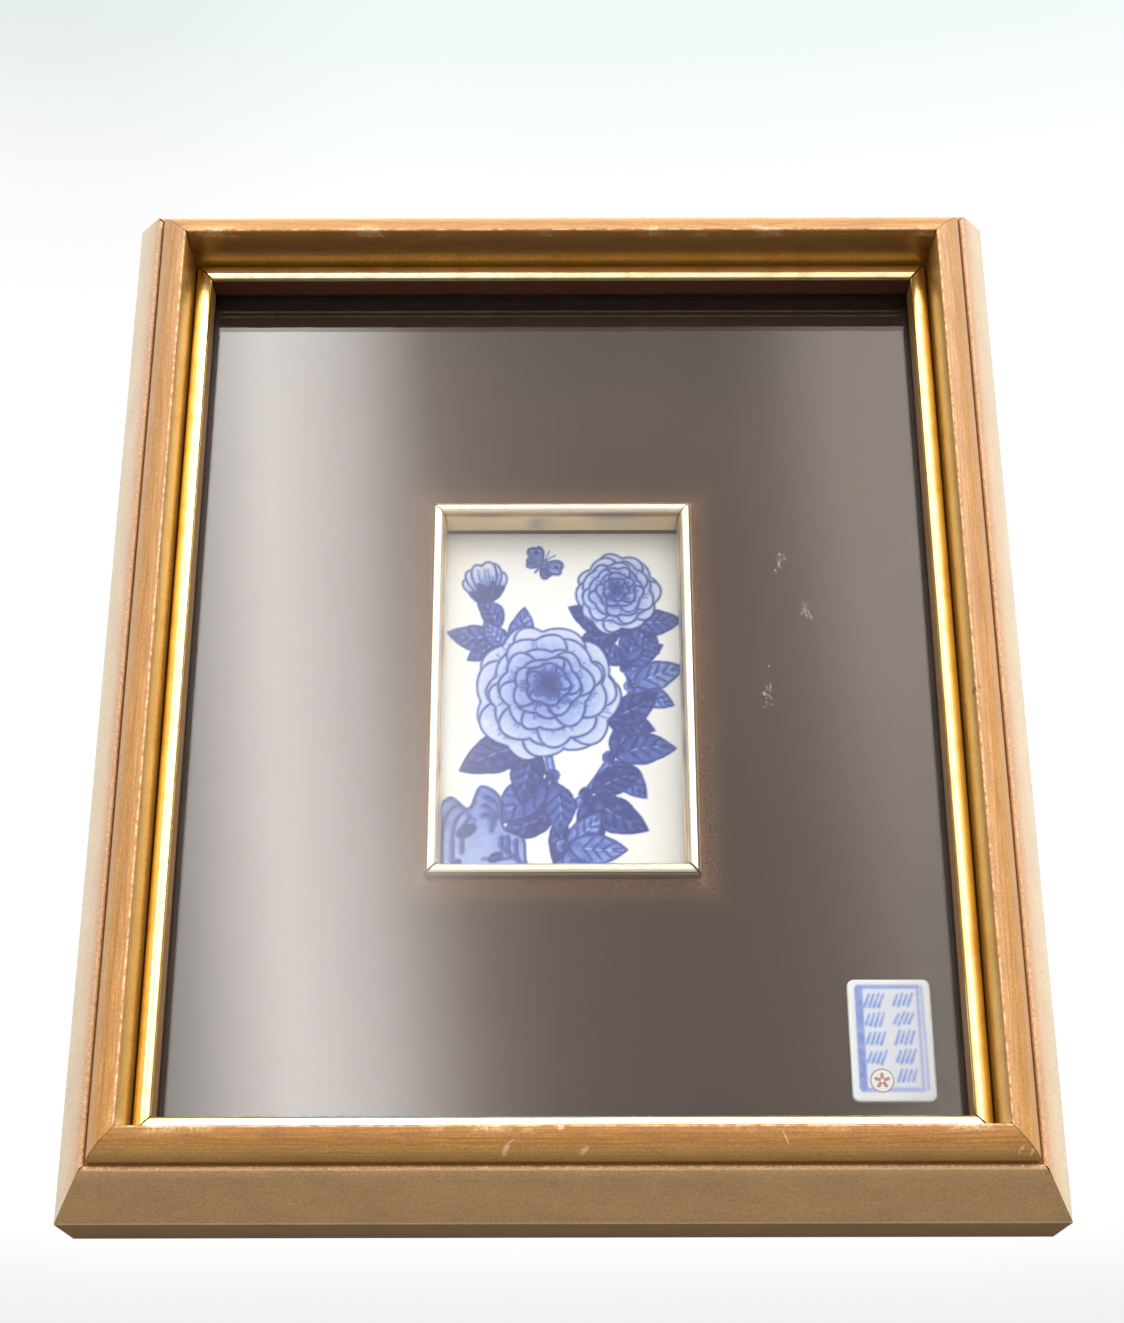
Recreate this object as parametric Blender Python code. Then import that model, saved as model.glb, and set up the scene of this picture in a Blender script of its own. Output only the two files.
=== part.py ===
"""Framed porcelain panel.

A small wall piece: a painted porcelain tile behind the window of a dark mat, under
glass, in a deep box frame of washed wood. It hangs upright, with +Z up and its face
towards -Y. The origin is the centre of the flat back, which rests on the wall.

All sizes are in metres. An inset is measured inwards from an outer edge, and a height
is measured forwards from the back plane.
"""

import math

import bmesh
import bpy
from mathutils import Vector

# Whole frame
FRAME_WIDTH = 0.235
FRAME_HEIGHT = 0.272
CLEARANCE = 0.0003

# Outer side of a rail
SIDE_HEIGHT = 0.0225
SLOPE_RUN = 0.00865
SLOPE_RISE = 0.0193
BACK_CHAMFER = 0.0005

# Rounded nose at the top of the slope, and the groove beside it
NOSE_RADIUS = 0.0007
GROOVE_WIDTH = 0.0006
GROOVE_DEPTH = 0.0010

# Crowned top face of a rail and its inner side
TOP_FACE_LIFT = 0.0016
TOP_FACE_RUN = 0.00665
TOP_FACE_RISE = 0.0054
TOP_FACE_CROWN = 0.00135
INNER_EDGE_RADIUS = 0.0006
INNER_EDGE_START = 98.0
INNER_TAPER = 0.0002

# Hidden inside of a rail: rabbet for the mat and the back, and groove for the glass
RABBET_WALL = 0.0100
GLASS_GRIP = 0.0055
SHOULDER_SETBACK = 0.0026

# Layers from the back to the glass
BACKING_THICKNESS = 0.0030
TILE_THICKNESS = 0.0045
MAT_WEB = 0.0024
FILLET_LEG_DEPTH = 0.0056
FILLET_RISE = 0.0038
FILLET_TO_GLASS = 0.0020
GLASS_THICKNESS = 0.0020
GLASS_EDGE_CHAMFER = 0.0003

# Gold slip between the wood and the glass
SLIP_GAP = 0.0005
SLIP_WIDTH = 0.0041
SLIP_HEIGHT = 0.0088
SLIP_CREST_INSET = 0.0020
SLIP_OUTER_DROP = 0.0010
SLIP_INNER_DROP = 0.0010
SLIP_JOINT_GAP = 0.0004

# Gold fillet round the window of the mat
FILLET_OUTER_WIDTH = 0.0688
FILLET_OUTER_HEIGHT = 0.1033
FILLET_WIDTH = 0.0036
FILLET_FLANGE = 0.0012
FILLET_EDGE_RADIUS = 0.0004
FILLET_FACE_CROWN = 0.0008
FILLET_BEVEL_RUN = 0.0006
FILLET_BEVEL_DROP = 0.0022
FILLET_LOWER_JOINT_GAP = 0.0006

# Porcelain tile and small plaque
TILE_OVERLAP = 0.0045
TILE_CORNER_RADIUS = 0.0015
TILE_EDGE_RADIUS = 0.0004
PLAQUE_WIDTH = 0.0202
PLAQUE_HEIGHT = 0.0298
PLAQUE_THICKNESS = 0.0015
PLAQUE_SIDE_MARGIN = 0.0058
PLAQUE_LOWER_MARGIN = 0.0060
PLAQUE_CORNER_RADIUS = 0.0018
PLAQUE_EDGE_RADIUS = 0.0005

# Fineness of round stretches, and how far a cutter runs past the faces it cuts
ARC_STEPS = 6
CROWN_STEPS = 8
CORNER_STEPS = 6
EDGE_STEPS = 3
CUT_OVERRUN = 0.002
PLACE_TOLERANCE = 0.00002
SHARP_ANGLE = math.radians(35.0)

# Heights of the layers, worked out from the thicknesses above
MAT_BACK = BACKING_THICKNESS + CLEARANCE
TILE_FRONT = MAT_BACK + TILE_THICKNESS
POCKET_FLOOR = TILE_FRONT + CLEARANCE
REBATE_FLOOR = POCKET_FLOOR + MAT_WEB
FILLET_LEG_END = REBATE_FLOOR + CLEARANCE
MAT_FRONT = FILLET_LEG_END + FILLET_LEG_DEPTH
FILLET_TOP = MAT_FRONT + FILLET_RISE
GLASS_BACK = FILLET_TOP + FILLET_FACE_CROWN + FILLET_TO_GLASS
GLASS_FRONT = GLASS_BACK + GLASS_THICKNESS

# Insets across a rail
NOSE_TILT = math.atan2(SLOPE_RUN, SLOPE_RISE)
NOSE_CENTRE_INSET = SLOPE_RUN + NOSE_RADIUS * math.cos(NOSE_TILT)
NOSE_CENTRE_HEIGHT = SIDE_HEIGHT + SLOPE_RISE - NOSE_RADIUS * math.sin(NOSE_TILT)
GROOVE_INSET = NOSE_CENTRE_INSET + NOSE_RADIUS
TOP_FACE_INSET = GROOVE_INSET + GROOVE_WIDTH
TOP_FACE_HEIGHT = NOSE_CENTRE_HEIGHT + TOP_FACE_LIFT
INNER_EDGE_INSET = TOP_FACE_INSET + TOP_FACE_RUN
INNER_EDGE_HEIGHT = TOP_FACE_HEIGHT + TOP_FACE_RISE
LIP_INSET = INNER_EDGE_INSET + INNER_EDGE_RADIUS + INNER_TAPER
GLASS_GROOVE_INSET = LIP_INSET - GLASS_GRIP
SLIP_INSET = LIP_INSET + SLIP_GAP
SIGHT_INSET = SLIP_INSET + SLIP_WIDTH
SHOULDER_INSET = SIGHT_INSET - SHOULDER_SETBACK

# Opening inside the fillet, and the tile behind it
OPENING_WIDTH = FILLET_OUTER_WIDTH - 2 * FILLET_WIDTH
OPENING_HEIGHT = FILLET_OUTER_HEIGHT - 2 * FILLET_WIDTH
TILE_WIDTH = OPENING_WIDTH + 2 * TILE_OVERLAP
TILE_HEIGHT = OPENING_HEIGHT + 2 * TILE_OVERLAP

# Direction along each side of a frame, and direction from that side to the centre
FORWARD = Vector((0.0, -1.0, 0.0))
SIDES = {
    "top": (Vector((1.0, 0.0, 0.0)), Vector((0.0, 0.0, -1.0))),
    "bottom": (Vector((1.0, 0.0, 0.0)), Vector((0.0, 0.0, 1.0))),
    "left": (Vector((0.0, 0.0, 1.0)), Vector((1.0, 0.0, 0.0))),
    "right": (Vector((0.0, 0.0, 1.0)), Vector((-1.0, 0.0, 0.0))),
}


def clear_scene():
    for old in list(bpy.data.objects):
        bpy.data.objects.remove(old, do_unlink=True)


def make_material(name, colour, roughness, metallic, transmission=0.0):
    material = bpy.data.materials.new(name)
    material.use_nodes = True
    shader = material.node_tree.nodes["Principled BSDF"]
    shader.inputs["Base Color"].default_value = (*colour, 1.0)
    shader.inputs["Roughness"].default_value = roughness
    shader.inputs["Metallic"].default_value = metallic
    shader.inputs["Transmission Weight"].default_value = transmission
    material.diffuse_color = (*colour, 1.0)
    return material


def add_object(name, bm, material):
    bmesh.ops.recalc_face_normals(bm, faces=bm.faces[:])
    mesh = bpy.data.meshes.new(name)
    bm.to_mesh(mesh)
    bm.free()
    mesh.materials.append(material)
    mesh.shade_smooth()
    mesh.set_sharp_from_angle(angle=SHARP_ANGLE)
    part = bpy.data.objects.new(name, mesh)
    bpy.context.scene.collection.objects.link(part)
    return part


def arc(centre, radii, start_degrees, end_degrees, steps):
    """Points on an arc of a circle or ellipse in a section, with both ends."""
    points = []
    for step in range(steps + 1):
        angle = math.radians(start_degrees + (end_degrees - start_degrees) * step / steps)
        inset = centre[0] + radii[0] * math.cos(angle)
        height = centre[1] + radii[1] * math.sin(angle)
        points.append((inset, height))
    return points


def crown(start, end, bulge, steps):
    """Points between two ends on the circle that bulges by so much at its middle."""
    run = end[0] - start[0]
    rise = end[1] - start[1]
    chord = math.hypot(run, rise)
    radius = (chord * chord / 4 + bulge * bulge) / (2 * bulge)
    half_angle = math.atan2(chord / 2, radius - bulge)
    points = []
    for step in range(1, steps):
        angle = half_angle * (2 * step / steps - 1)
        share = 0.5 + radius * math.sin(angle) / chord
        swell = radius * math.cos(angle) - (radius - bulge)
        inset = start[0] + run * share - rise / chord * swell
        height = start[1] + rise * share + run / chord * swell
        points.append((inset, height))
    return points


def rail_section():
    """Section of the moulding, from its outer back corner round to the rabbet."""
    nose = arc(
        (NOSE_CENTRE_INSET, NOSE_CENTRE_HEIGHT), (NOSE_RADIUS, NOSE_RADIUS),
        180.0 - math.degrees(NOSE_TILT), 0.0, ARC_STEPS,
    )
    groove_radius = GROOVE_WIDTH / 2
    groove = arc(
        (GROOVE_INSET + groove_radius, NOSE_CENTRE_HEIGHT - GROOVE_DEPTH + groove_radius),
        (groove_radius, groove_radius), 180.0, 360.0, ARC_STEPS,
    )
    inner_edge = arc(
        (INNER_EDGE_INSET, INNER_EDGE_HEIGHT), (INNER_EDGE_RADIUS, INNER_EDGE_RADIUS),
        INNER_EDGE_START, 0.0, ARC_STEPS,
    )
    top_start = (TOP_FACE_INSET, TOP_FACE_HEIGHT)
    top_face = crown(top_start, inner_edge[0], TOP_FACE_CROWN, CROWN_STEPS)
    lip_height = GLASS_FRONT + CLEARANCE
    groove_back = GLASS_BACK - CLEARANCE
    shoulder = MAT_FRONT + CLEARANCE
    return (
        [(BACK_CHAMFER, 0.0), (0.0, BACK_CHAMFER), (0.0, SIDE_HEIGHT)]
        + nose
        + groove
        + [top_start]
        + top_face
        + inner_edge
        + [(LIP_INSET, lip_height)]
        + [(GLASS_GROOVE_INSET, lip_height), (GLASS_GROOVE_INSET, groove_back)]
        + [(SHOULDER_INSET, groove_back), (SHOULDER_INSET, shoulder)]
        + [(RABBET_WALL, shoulder), (RABBET_WALL, 0.0)]
    )


def slip_section():
    """Section of the slip: square on the glass, with a rounded bead on top."""
    foot = GLASS_FRONT + CLEARANCE
    crest = foot + SLIP_HEIGHT
    crest_inset = SLIP_INSET + SLIP_CREST_INSET
    outer_round = arc(
        (crest_inset, crest - SLIP_OUTER_DROP), (SLIP_CREST_INSET, SLIP_OUTER_DROP),
        180.0, 90.0, ARC_STEPS,
    )
    inner_round = arc(
        (crest_inset, crest - SLIP_INNER_DROP),
        (SLIP_WIDTH - SLIP_CREST_INSET, SLIP_INNER_DROP), 90.0, 0.0, ARC_STEPS,
    )
    return [(SLIP_INSET, foot)] + outer_round + inner_round[1:] + [(SIGHT_INSET, foot)]


def fillet_section():
    """Section of the fillet: a flange on the mat and a leg down into its window."""
    flange_back = MAT_FRONT + CLEARANCE
    outer_edge = arc(
        (FILLET_EDGE_RADIUS, FILLET_TOP - FILLET_EDGE_RADIUS),
        (FILLET_EDGE_RADIUS, FILLET_EDGE_RADIUS), 180.0, 90.0, EDGE_STEPS,
    )
    face_end = (FILLET_WIDTH - FILLET_BEVEL_RUN, FILLET_TOP)
    face = crown(outer_edge[-1], face_end, FILLET_FACE_CROWN, CROWN_STEPS)
    return (
        [(0.0, flange_back)]
        + outer_edge
        + face
        + [face_end, (FILLET_WIDTH, FILLET_TOP - FILLET_BEVEL_DROP)]
        + [(FILLET_WIDTH, FILLET_LEG_END), (FILLET_FLANGE, FILLET_LEG_END)]
        + [(FILLET_FLANGE, flange_back)]
    )


def mitred_strip(name, section, side, outline, end_gaps, material):
    """One side of a mitred frame: its section drawn on one mitre and drawn out to the other.

    The outline is the width and height of the frame that the insets are measured from,
    and the end gaps are the joint gaps at the strip's lower or left end and at its other end.
    """
    along, inward = SIDES[side]
    width, height = outline
    upright = side in ("left", "right")
    half_along = (height if upright else width) / 2
    half_across = (width if upright else height) / 2
    start_setback = end_gaps[0] / math.sqrt(2)
    end_setback = end_gaps[1] / math.sqrt(2)
    bm = bmesh.new()
    start = []
    for inset, level in section:
        place = inward * (inset - half_across) + FORWARD * level
        place -= along * (half_along - inset - start_setback)
        start.append(bm.verts.new(place))
    end_face = bm.faces.new(start)
    drawn = bmesh.ops.extrude_face_region(bm, geom=[end_face])
    for vert in drawn["geom"]:
        if isinstance(vert, bmesh.types.BMVert):
            inset = vert.co.dot(inward) + half_across
            vert.co -= along * vert.co.dot(along)
            vert.co += along * (half_along - inset - end_setback)
    return add_object(name, bm, material)


def plate(name, size, centre, back, front, material, corner_radius=0.0, edge_radius=0.0):
    """A flat plate seen from the front, with round corners and an eased front edge."""
    bm = bmesh.new()
    bmesh.ops.create_cube(bm, size=1.0)
    bmesh.ops.scale(bm, vec=(size[0], front - back, size[1]), verts=bm.verts[:])
    middle = Vector((centre[0], 0.0, centre[1])) + FORWARD * (back + front) / 2
    bmesh.ops.translate(bm, vec=middle, verts=bm.verts[:])
    if corner_radius > 0.0:
        corners = [edge for edge in bm.edges if is_along_y(edge)]
        bmesh.ops.bevel(
            bm, geom=corners, offset=corner_radius, segments=CORNER_STEPS, profile=0.5,
            affect="EDGES",
        )
    if edge_radius > 0.0:
        rim = [edge for edge in bm.edges if is_at_height(edge, front)]
        bmesh.ops.bevel(
            bm, geom=rim, offset=edge_radius, segments=EDGE_STEPS, profile=0.5, affect="EDGES"
        )
    return add_object(name, bm, material)


def is_along_y(edge):
    run = edge.verts[1].co - edge.verts[0].co
    return abs(run.x) + abs(run.z) < PLACE_TOLERANCE


def is_at_height(edge, height):
    return all(abs(vert.co.dot(FORWARD) - height) < PLACE_TOLERANCE for vert in edge.verts)


def cut(target, name, size, back, front, material):
    """Cut a centred rectangular space out of a plate."""
    cutter = plate(name, size, (0.0, 0.0), back, front, material)
    cutter.hide_render = True
    cutter.display_type = "WIRE"
    boolean = target.modifiers.new(name, "BOOLEAN")
    boolean.operation = "DIFFERENCE"
    boolean.solver = "EXACT"
    boolean.object = cutter


def build_rails(wood):
    section = rail_section()
    outline = (FRAME_WIDTH, FRAME_HEIGHT)
    for side in SIDES:
        mitred_strip("rail_" + side, section, side, outline, (CLEARANCE, CLEARANCE), wood)


def build_slips(gold):
    section = slip_section()
    outline = (FRAME_WIDTH, FRAME_HEIGHT)
    end_gaps = (SLIP_JOINT_GAP, SLIP_JOINT_GAP)
    for side in SIDES:
        mitred_strip("slip_" + side, section, side, outline, end_gaps, gold)


def build_fillets(gold):
    section = fillet_section()
    outline = (FILLET_OUTER_WIDTH, FILLET_OUTER_HEIGHT)
    lower = FILLET_LOWER_JOINT_GAP
    end_gaps = {
        "top": (CLEARANCE, CLEARANCE),
        "bottom": (lower, lower),
        "left": (lower, CLEARANCE),
        "right": (lower, CLEARANCE),
    }
    for side in SIDES:
        mitred_strip("fillet_" + side, section, side, outline, end_gaps[side], gold)


def build_glass(glass):
    inset = GLASS_GROOVE_INSET + CLEARANCE
    size = (FRAME_WIDTH - 2 * inset, FRAME_HEIGHT - 2 * inset)
    plate(
        "glass_pane", size, (0.0, 0.0), GLASS_BACK, GLASS_FRONT, glass,
        edge_radius=GLASS_EDGE_CHAMFER,
    )


def build_mat(card):
    """Mat with a window, a rebate for the fillet in front and a pocket for the tile behind."""
    inset = RABBET_WALL + CLEARANCE
    size = (FRAME_WIDTH - 2 * inset, FRAME_HEIGHT - 2 * inset)
    mat = plate("mat_board", size, (0.0, 0.0), MAT_BACK, MAT_FRONT, card)
    front = MAT_FRONT + CUT_OVERRUN
    back = MAT_BACK - CUT_OVERRUN
    window = (OPENING_WIDTH + 2 * CLEARANCE, OPENING_HEIGHT + 2 * CLEARANCE)
    cut(mat, "mat_window", window, back, front, card)
    leg_reach = 2 * (CLEARANCE - FILLET_FLANGE)
    rebate = (FILLET_OUTER_WIDTH + leg_reach, FILLET_OUTER_HEIGHT + leg_reach)
    cut(mat, "mat_rebate", rebate, REBATE_FLOOR, front, card)
    pocket = (TILE_WIDTH + 2 * CLEARANCE, TILE_HEIGHT + 2 * CLEARANCE)
    cut(mat, "mat_pocket", pocket, back, POCKET_FLOOR, card)


def build_tile(porcelain):
    plate(
        "porcelain_tile", (TILE_WIDTH, TILE_HEIGHT), (0.0, 0.0), MAT_BACK, TILE_FRONT,
        porcelain, corner_radius=TILE_CORNER_RADIUS, edge_radius=TILE_EDGE_RADIUS,
    )


def build_plaque(porcelain):
    """Small plaque glued on the mat, in its lower right corner."""
    right = FRAME_WIDTH / 2 - SIGHT_INSET - PLAQUE_SIDE_MARGIN
    bottom = SIGHT_INSET + PLAQUE_LOWER_MARGIN - FRAME_HEIGHT / 2
    centre = (right - PLAQUE_WIDTH / 2, bottom + PLAQUE_HEIGHT / 2)
    back = MAT_FRONT + CLEARANCE
    plate(
        "small_plaque", (PLAQUE_WIDTH, PLAQUE_HEIGHT), centre, back, back + PLAQUE_THICKNESS,
        porcelain, corner_radius=PLAQUE_CORNER_RADIUS, edge_radius=PLAQUE_EDGE_RADIUS,
    )


def build_backing(board):
    inset = RABBET_WALL + CLEARANCE
    size = (FRAME_WIDTH - 2 * inset, FRAME_HEIGHT - 2 * inset)
    plate("backing_board", size, (0.0, 0.0), 0.0, BACKING_THICKNESS, board)


def main():
    clear_scene()
    build_rails(make_material("washed_wood", (0.50, 0.30, 0.14), 0.55, 0.0))
    build_slips(make_material("bright_gold", (0.90, 0.62, 0.18), 0.25, 1.0))
    build_fillets(make_material("pale_gold", (0.88, 0.76, 0.46), 0.30, 1.0))
    build_glass(make_material("window_glass", (0.96, 0.98, 0.97), 0.02, 0.0, transmission=1.0))
    build_mat(make_material("dark_mat_card", (0.06, 0.025, 0.022), 0.80, 0.0))
    build_tile(make_material("glazed_porcelain", (0.85, 0.89, 0.93), 0.10, 0.0))
    build_plaque(make_material("glazed_plaque", (0.85, 0.88, 0.92), 0.12, 0.0))
    build_backing(make_material("pressed_board", (0.28, 0.17, 0.09), 0.85, 0.0))


main()
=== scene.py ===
"""Looks of the framed porcelain panel, built round its packed model.

The packed model is loaded as a fixed frame, each piece of it is dressed, and a plain
studio is set up. The panel hangs upright: X runs to the right, Z runs up and its face
looks towards -Y, with its back in the plane Y = 0. Lengths are in metres, unless a name
or a comment says millimetres.
"""

import math
import random

import bmesh
import bpy
import numpy as np
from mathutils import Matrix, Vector, noise


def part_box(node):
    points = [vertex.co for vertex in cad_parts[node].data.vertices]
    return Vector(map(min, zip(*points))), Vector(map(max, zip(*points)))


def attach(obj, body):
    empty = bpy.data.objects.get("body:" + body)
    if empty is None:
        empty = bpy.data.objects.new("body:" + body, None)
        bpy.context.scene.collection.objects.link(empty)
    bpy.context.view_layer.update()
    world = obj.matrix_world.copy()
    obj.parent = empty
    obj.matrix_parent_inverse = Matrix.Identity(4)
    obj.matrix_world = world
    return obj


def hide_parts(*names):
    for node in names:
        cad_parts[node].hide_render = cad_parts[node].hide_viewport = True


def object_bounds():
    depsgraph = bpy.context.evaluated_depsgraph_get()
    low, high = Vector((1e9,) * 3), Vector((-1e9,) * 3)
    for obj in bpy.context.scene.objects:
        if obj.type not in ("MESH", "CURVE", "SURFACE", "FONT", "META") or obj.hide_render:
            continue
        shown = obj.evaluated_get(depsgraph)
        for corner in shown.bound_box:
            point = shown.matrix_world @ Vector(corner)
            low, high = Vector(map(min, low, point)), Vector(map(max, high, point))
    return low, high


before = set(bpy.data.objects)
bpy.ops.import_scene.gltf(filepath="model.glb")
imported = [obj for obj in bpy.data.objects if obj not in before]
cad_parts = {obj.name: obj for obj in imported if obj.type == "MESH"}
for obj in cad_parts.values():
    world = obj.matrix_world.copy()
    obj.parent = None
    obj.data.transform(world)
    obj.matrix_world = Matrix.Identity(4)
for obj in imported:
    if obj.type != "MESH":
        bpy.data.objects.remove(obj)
CAD_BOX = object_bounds()

bl_info = {
    "name": "Framed Porcelain Panel",
    "version": (1, 0, 0),
    "blender": (4, 5, 0),
    "location": "3D View > Sidebar > Panel",
    "description": "Dresses a framed porcelain panel and sets up a plain studio",
    "category": "Object",
}

# Places read from the packed model
SIDES = ("top", "bottom", "left", "right")
HALF_WIDTH = CAD_BOX[1].x
HALF_HEIGHT = CAD_BOX[1].z
GLASS_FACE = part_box("glass_pane")[0].y
MAT_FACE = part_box("mat_board")[0].y
FILLET_HALF_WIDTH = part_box("fillet_bottom")[1].x
FILLET_HALF_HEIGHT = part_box("fillet_left")[1].z
FILLET_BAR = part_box("fillet_bottom")[1].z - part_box("fillet_bottom")[0].z

# Section of a rail in millimetres: insets from its outer edge and heights from its back
NOSE_START = 8.05
NOSE_END = 10.2
GROOVE_END = 10.65
WIDEST_HEIGHT = 22.5
NOSE_HEIGHT = 40.7
TOP_FACE_START = 10.75
INNER_EDGE_START = 16.9
INNER_EDGE_END = 19.0
INNER_EDGE_HEIGHT = 48.0
LIP_START = 17.75

# Marks on the wood in millimetres: x, z, half width, half height and lean
SCUFFS = (
    (-12.8, -123.5, 0.75, 1.3, 0.4), (-11.6, -121.9, 0.25, 0.6, 1.6), (4.6, -123.7, 0.9, 0.9, 0.9),
    (-0.7, -119.0, 1.2, 0.6, 0.0), (49.5, -121.2, 0.2, 1.7, -0.5),
    (101.9, -123.6, 0.5, 0.9, 0.6), (104.4, -124.0, 0.45, 0.8, 0.4), (-105.1, 124.0, 0.25, 0.9, 0.7),
)
DARK_MARKS = ((99.75, -13.6, 0.20, 0.55, 0.3), (100.0, -14.3, 0.40, 0.20, 0.0))
NICK_PLACE = -0.0139
NICK_REACH = 0.0010
NICK_DEPTH = 0.0004
NICK_INSETS = (0.0165, 0.0182)

# Dust on the glass: specks, a thin line, a loose row, and flakes in each dried smear
SPECKS, LINE_SPECKS, ROW_SPECKS, SMEAR_FLAKES = 110, 30, 44, 44
# Dried smears in metres and radians: x, z, spread and tilt to the right
SMEARS = (
    (0.0568, 0.0319, 0.0026, 0.5), (0.0629, 0.0176, 0.0022, -0.4), (0.0522, -0.0041, 0.0028, 0.2),
)

# Brightness of the studio seen in the glass, by how far to the left for each metre ahead
VEIL_LEVELS = (
    (-0.52, 7.2), (-0.38, 6.8), (-0.26, 3.5), (-0.22, 3.2), (-0.18, 3.1), (-0.16, 2.3),
    (-0.14, 1.55), (-0.11, 1.15), (-0.08, 1.05), (-0.04, 1.12), (0.0, 1.5), (0.03, 2.15),
    (0.05, 3.2), (0.08, 6.0), (0.12, 8.6), (0.13, 8.6), (0.16, 5.2), (0.18, 3.5),
    (0.22, 2.6), (0.52, 2.5),
)
VEIL_PEAK = 9.0
FLOOR_LEVEL = -1.4
FLOOR_SIZE = 60.0

# Camera, at the photograph's viewing angle
CAMERA_PLACE = (-0.0002, -0.5265, -0.2110)
CAMERA_TURN = (1.9756, 0.0020, 0.0005)
CAMERA_LENS = 58.2
CAMERA_SENSOR = 36.0

# Sockets of the Mix node when it mixes colours
FACTOR, FIRST, SECOND, MIXED = 0, 6, 7, 2

# Fineness and tolerances of the modelling
SMOOTH_ANGLE = math.radians(32.0)
MERGE_DISTANCE = 0.00001
FLAT_ANGLE = math.radians(0.8)
PLACE_TOLERANCE = 0.00003
HEIGHT_TOLERANCE = 0.00005
LONG_EDGE = 0.01
# Share of a direction that lies along an axis, past which it counts as straight along it
STRAIGHT = 0.999
# Distance in millimetres that stands for no painted line nearby
NO_LINE = 4.0
# Parts that each facet of a strip is cut into across its run
CUTS_ACROSS = 6
# How near its mitre a rail's point is moved, how far outside and inside the nose, and the
# inset where the inside starts
MITRE_REACH = 0.00025
MITRE_PUSH = 0.00019
MITRE_PUSH_INSIDE = 0.00012
MITRE_INSIDE_START = 0.0100
# How far the tile's painted grid goes under the fillet, and the plaque's stays off its edge
TILE_UNDERLAP = 0.0005
PLAQUE_RIM = 0.0012
BACKING_ROUND = 0.0003


def linear(code):
    """Linear colour of an sRGB hex code, as Blender's colour sockets hold it."""
    values = [int(code[start:start + 2], 16) / 255 for start in (0, 2, 4)]
    return tuple(v / 12.92 if v <= 0.04045 else ((v + 0.055) / 1.055) ** 2.4 for v in values)


def tint(name, code, description):
    return bpy.props.FloatVectorProperty(
        name=name, description=description, subtype="COLOR", size=3, min=0.0, max=1.0,
        default=linear(code),
    )


def measure(name, length, description):
    return bpy.props.FloatProperty(
        name=name, description=description, unit="LENGTH", subtype="DISTANCE", min=0.0,
        precision=5, default=length,
    )


class PanelSizes(bpy.types.PropertyGroup):
    """Sizes of the fine work on the pieces."""

    rail_step: measure("Rail step", 0.0009, "Length of one step along a rail")
    arris_round: measure("Arris round", 0.00045, "Rounding of a rail's widest arris")
    nose_wear: measure("Nose wear", 0.00016, "Depth of the wear on a rail's nose")
    edge_wear: measure("Edge wear", 0.00010, "Depth of the wear on a rail's inner edge")
    strip_step: measure("Strip step", 0.004, "Length of one step along a gold strip")
    tile_step: measure("Tile step", 0.00030, "Distance between painted points on the tile")
    plaque_step: measure("Plaque step", 0.00020, "The same on the small plaque")
    speck_size: measure("Speck size", 0.00022, "Width of a speck of dust on the glass")


class WoodColours(bpy.types.PropertyGroup):
    """Colours of the rails and the back."""

    pale: tint("Wash", "B8976C", "Wash on the outer slope")
    # Painted sheen: a paler cream on the outer part of the upright rails' slope
    slope_painted_sheen: tint("Cream", "B4A88E", "Worn outer part of the upright rails' slope")
    # Painted shade: the upright side is painted darker than the slope
    side: tint("Side", "9E7142", "Stained upright side")
    mid: tint("Tan", "9A6C2E", "Lacquered wood of the top face")
    bright: tint("Bright streaks", "BD9048", "Pale fibres of the top face")
    grain_and_painted_shade: tint("Grain", "784A1A", "Dark grain lines and chips")
    # Grain lines and chips, and also painted shade at the foot of the side, low on the bronze and on
    # the bottom rail
    haze: tint("Haze", "A98450", "Haze of wash on the outer part of the top face")
    copper: tint("Nose", "A67A50", "Rubbed nose")
    # Wear, and also painted light on the bronze of the right rail
    wear_and_painted_light: tint("Worn edge", "F6D9B0", "Rubbed inner edge, and specks on the nose")
    groove: tint("Groove", "8E5C24", "Stain in the groove")
    inner: tint("Inner side", "AC8236", "Gold bronze on the inner side")
    # Painted shade on the bronze of the inner side
    bronze_painted_shade: tint("Dull bronze", "501E02", "Darkened bronze by the edge of the long inner side")
    # Painted shade on the wood behind the glass
    rebate_painted_shade: tint("Rebate", "341B0C", "Dark stain behind the glass")
    scuff: tint("Scuffs", "DCCBB2", "Pale scuffs on the bottom rail")
    nick: tint("Nick", "4A2C14", "Dirt in the nick of the right rail")
    board: tint("Board", "8A6B4A", "Pressed board of the back")
    board_fibre: tint("Board fibre", "A88760", "Pale fibres in the board")


class GoldColours(bpy.types.PropertyGroup):
    """Colours of the slips and the fillet."""

    slip: tint("Slip gold", "FFE596", "Bright gold of the upright slips")
    # Painted highlight: the top and bottom slips are paler so that their highlight reads white
    slip_gold_painted_highlight: tint("Pale slip gold", "FFF2C4", "Paler gold of the top and bottom slips")
    slip_amber: tint("Slip amber", "D2A24C", "Amber tone in the slips' thin patches")
    # Painted shade and dark reflection on the slips' upright sides
    slip_side_painted_shade: tint("Slip foot", "7C582B", "Stained sides of the upright slips")
    # Deeper painted shade on the sides of the top and bottom slips
    slip_side_deeper_painted_shade: tint("Dark slip foot", "4A2006", "Darker sides of the top and bottom slips")
    # Painted shadow along the slips' edge against the glass
    slip_painted_shadow: tint("Slip line", "160C06", "Bare edge of the slips against the glass")
    fillet: tint("Fillet gold", "FFF3D8", "Pale gold of the fillet")
    fillet_tan: tint("Fillet tan", "E4CD9F", "Duller gold in the fillet's opening")
    fillet_amber: tint("Fillet amber", "C08A40", "Thin inner edge of the fillet")
    fillet_brown: tint("Fillet brown", "6E4822", "Thin outer edge of the fillet")


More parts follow.
